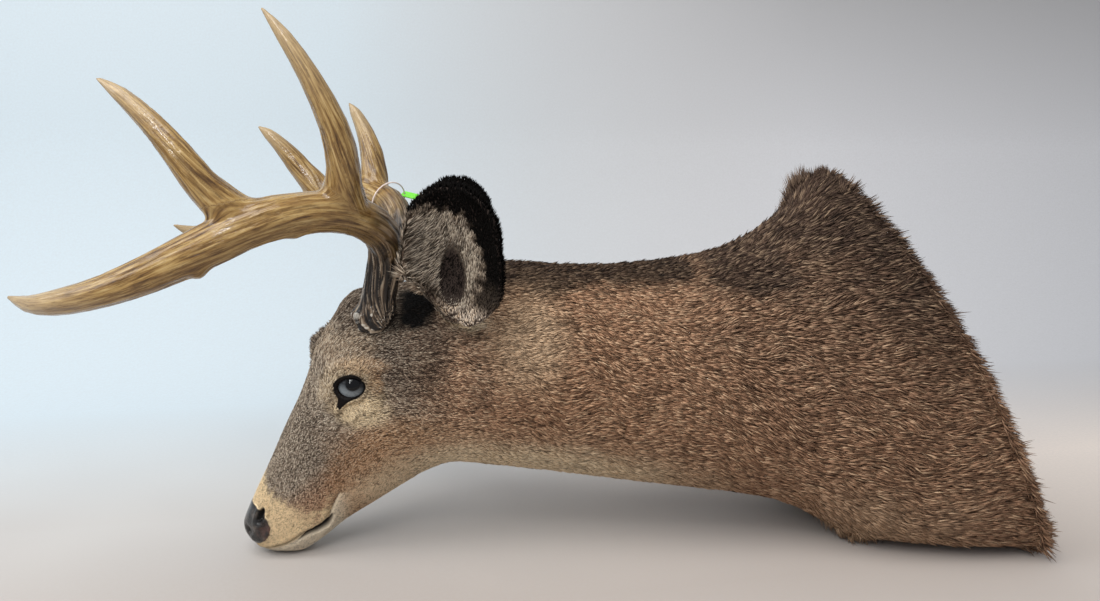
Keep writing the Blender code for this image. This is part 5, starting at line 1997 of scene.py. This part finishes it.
def tuft(name, middle_point, reach, way, length, count, seed):
    """A cluster of longer hair that stands out in one direction."""
    away = norms(triangle_centres - np.array(middle_point))
    where = (triangle_normals @ WALL_OUT < 0.6) * (away < reach * 2.2)
    roots = Roots(np.exp(-(away / reach) ** 2) * where, count, seed)
    shared = np.stack([ripple(roots.points, 0.007, seed + k) for k in (1, 2, 3)], axis=1)
    spike = ease(ripple(roots.points, 0.006, seed + 9), -0.5, 0.6)
    ways = unit(np.array(way)[None] + shared * 0.24 + roots.rng.normal(size=(count, 3)) * 0.08)
    ways = lifted_off(ways, roots.normals, 0.15)
    away = norms(roots.points - np.array(middle_point))
    lengths = length * MM * roots.vary(0.65, 1.10) * (0.40 + 0.75 * spike) \
        * (0.55 + 0.45 * ease(away, reach * 1.8, reach * 0.5))
    share = markings(roots.points)
    if name.startswith("ear"):
        share.update(black=np.zeros(count), dark=np.zeros(count), grey=np.full(count, 0.9))
    widths = 1.15 * MM * roots.vary(0.7, 1.3)
    make_locks("coat_" + name, roots, ways, lengths, widths, 0.10, share, coat)


def loose_ways(roots, waver):
    """The lie of the coat, with each lock a little off it."""
    ways = lie_of_coat(roots.points, roots.normals)
    return unit(ways + roots.rng.normal(size=(roots.count, 3)) * waver)


mane_where = grows * np.exp(-(right_of_triangle / 0.034) ** 2) * (top_of_triangle > 0.5) \
    * ease(run_of_triangle, 0.27, 0.33)
roots = Roots(mane_where, 12000, 70)
ways = loose_ways(roots, 0.12)
lengths = (11.0 + 6.0 * ease(along_body(roots.points)[0], 0.5, 0.8)) * roots.vary(0.7, 1.2) * MM
lengths = np.minimum(lengths, reach_to_wall(roots.points, ways))
make_locks("coat_mane", roots, ways, lengths, 1.2 * MM * roots.vary(0.7, 1.3),
           roots.vary(0.30, 0.75), markings(roots.points), coat)

edge_where = ease(wall_gap(triangle_centres), 0.030, 0.012) \
    * (triangle_normals @ WALL_OUT < 0.75) * (triangle_centres[:, 2] > 0.004)
roots = Roots(edge_where, 9000, 71)
ways = loose_ways(roots, 0.16)
lengths = np.minimum(roots.vary(10.0, 24.0) * MM, reach_to_wall(roots.points, ways))
share = markings(roots.points)
share["dark"] = np.maximum(share["dark"], 0.40)
make_locks("coat_edge", roots, ways, lengths, 1.0 * MM * roots.vary(0.6, 1.3),
           roots.vary(0.20, 0.50), share, coat, contrast=0.7)
for seed, settings in enumerate(TUFTS):
    tuft(*settings, 80 + seed)

# %% [markdown]
# ## Board, tag and wire
# The board is sawn plywood. Its face is rotary-cut veneer with long lazy grain. The tag is bright
# green plastic on a pale wire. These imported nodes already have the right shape, so they keep it and
# only get a finish.

# %% Small finishes
plywood = Finish("plywood", Roughness=0.62)
wander_grain = plywood.speckle(plywood.place((5.0, 5.0, 1.1)), detail=2.0)
figure = plywood.node("TexWave", {"wave_type": "BANDS", "bands_direction": "Y"},
                      {"Vector": plywood.place((1.0, 1.0, 0.16)), "Scale": 9.0,
                       "Distortion": 9.0 * wander_grain + 4.0, "Detail": 3.0,
                       "Detail Scale": 0.9, "Detail Roughness": 0.6})
pore = plywood.speckle(plywood.place((60.0, 900.0, 26.0)), detail=3.0)
streak = plywood.speckle(plywood.place((20.0, 260.0, 5.0)), detail=4.0)
wood = plywood.layers(
    plywood.ramp(figure, [(0.0, (0.40, 0.26, 0.135)), (0.18, (0.55, 0.385, 0.22)),
                          (1.0, (0.64, 0.47, 0.29))]),
    (rgb(0.46, 0.31, 0.17), ((streak - 0.45) * 3.0).clamped() * 0.5),
    (rgb(0.26, 0.15, 0.07), ((pore - 0.58) * 6.0).clamped() * 0.6))
plywood.feed(Base_Color=wood, Normal=plywood.bump(pore, 0.3 * MM, 0.5))

green = Finish("tag_plastic", Roughness=0.42)
scuff = green.speckle(green.place((600.0,) * 3), detail=4.0)
green.feed(Base_Color=green.ramp(scuff, [(0.3, (0.13, 0.62, 0.03)), (0.7, (0.22, 0.80, 0.06))]),
           Normal=green.bump(scuff, 0.2 * MM, 0.4))

wire = Finish("pale_wire", Roughness=0.5)
dull = wire.speckle(wire.place((900.0,) * 3), detail=2.0)
wire.feed(Base_Color=wire.ramp(dull, [(0.3, (0.70, 0.56, 0.50)), (0.7, (0.84, 0.74, 0.69))]))


def refinish(node, finish):
    """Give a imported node's own faces a finish."""
    for slot in frame["nodes"][node].material_slots:
        slot.material = finish.material
    print(node, "is finished as", finish.material.name)


refinish("wall_board", plywood)
refinish("tag", green)
refinish("tag_wire", wire)

# %% Count the faces
total = sum(len(o.data.polygons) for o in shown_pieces() if o.type == "MESH")
print("faces in all:", total)
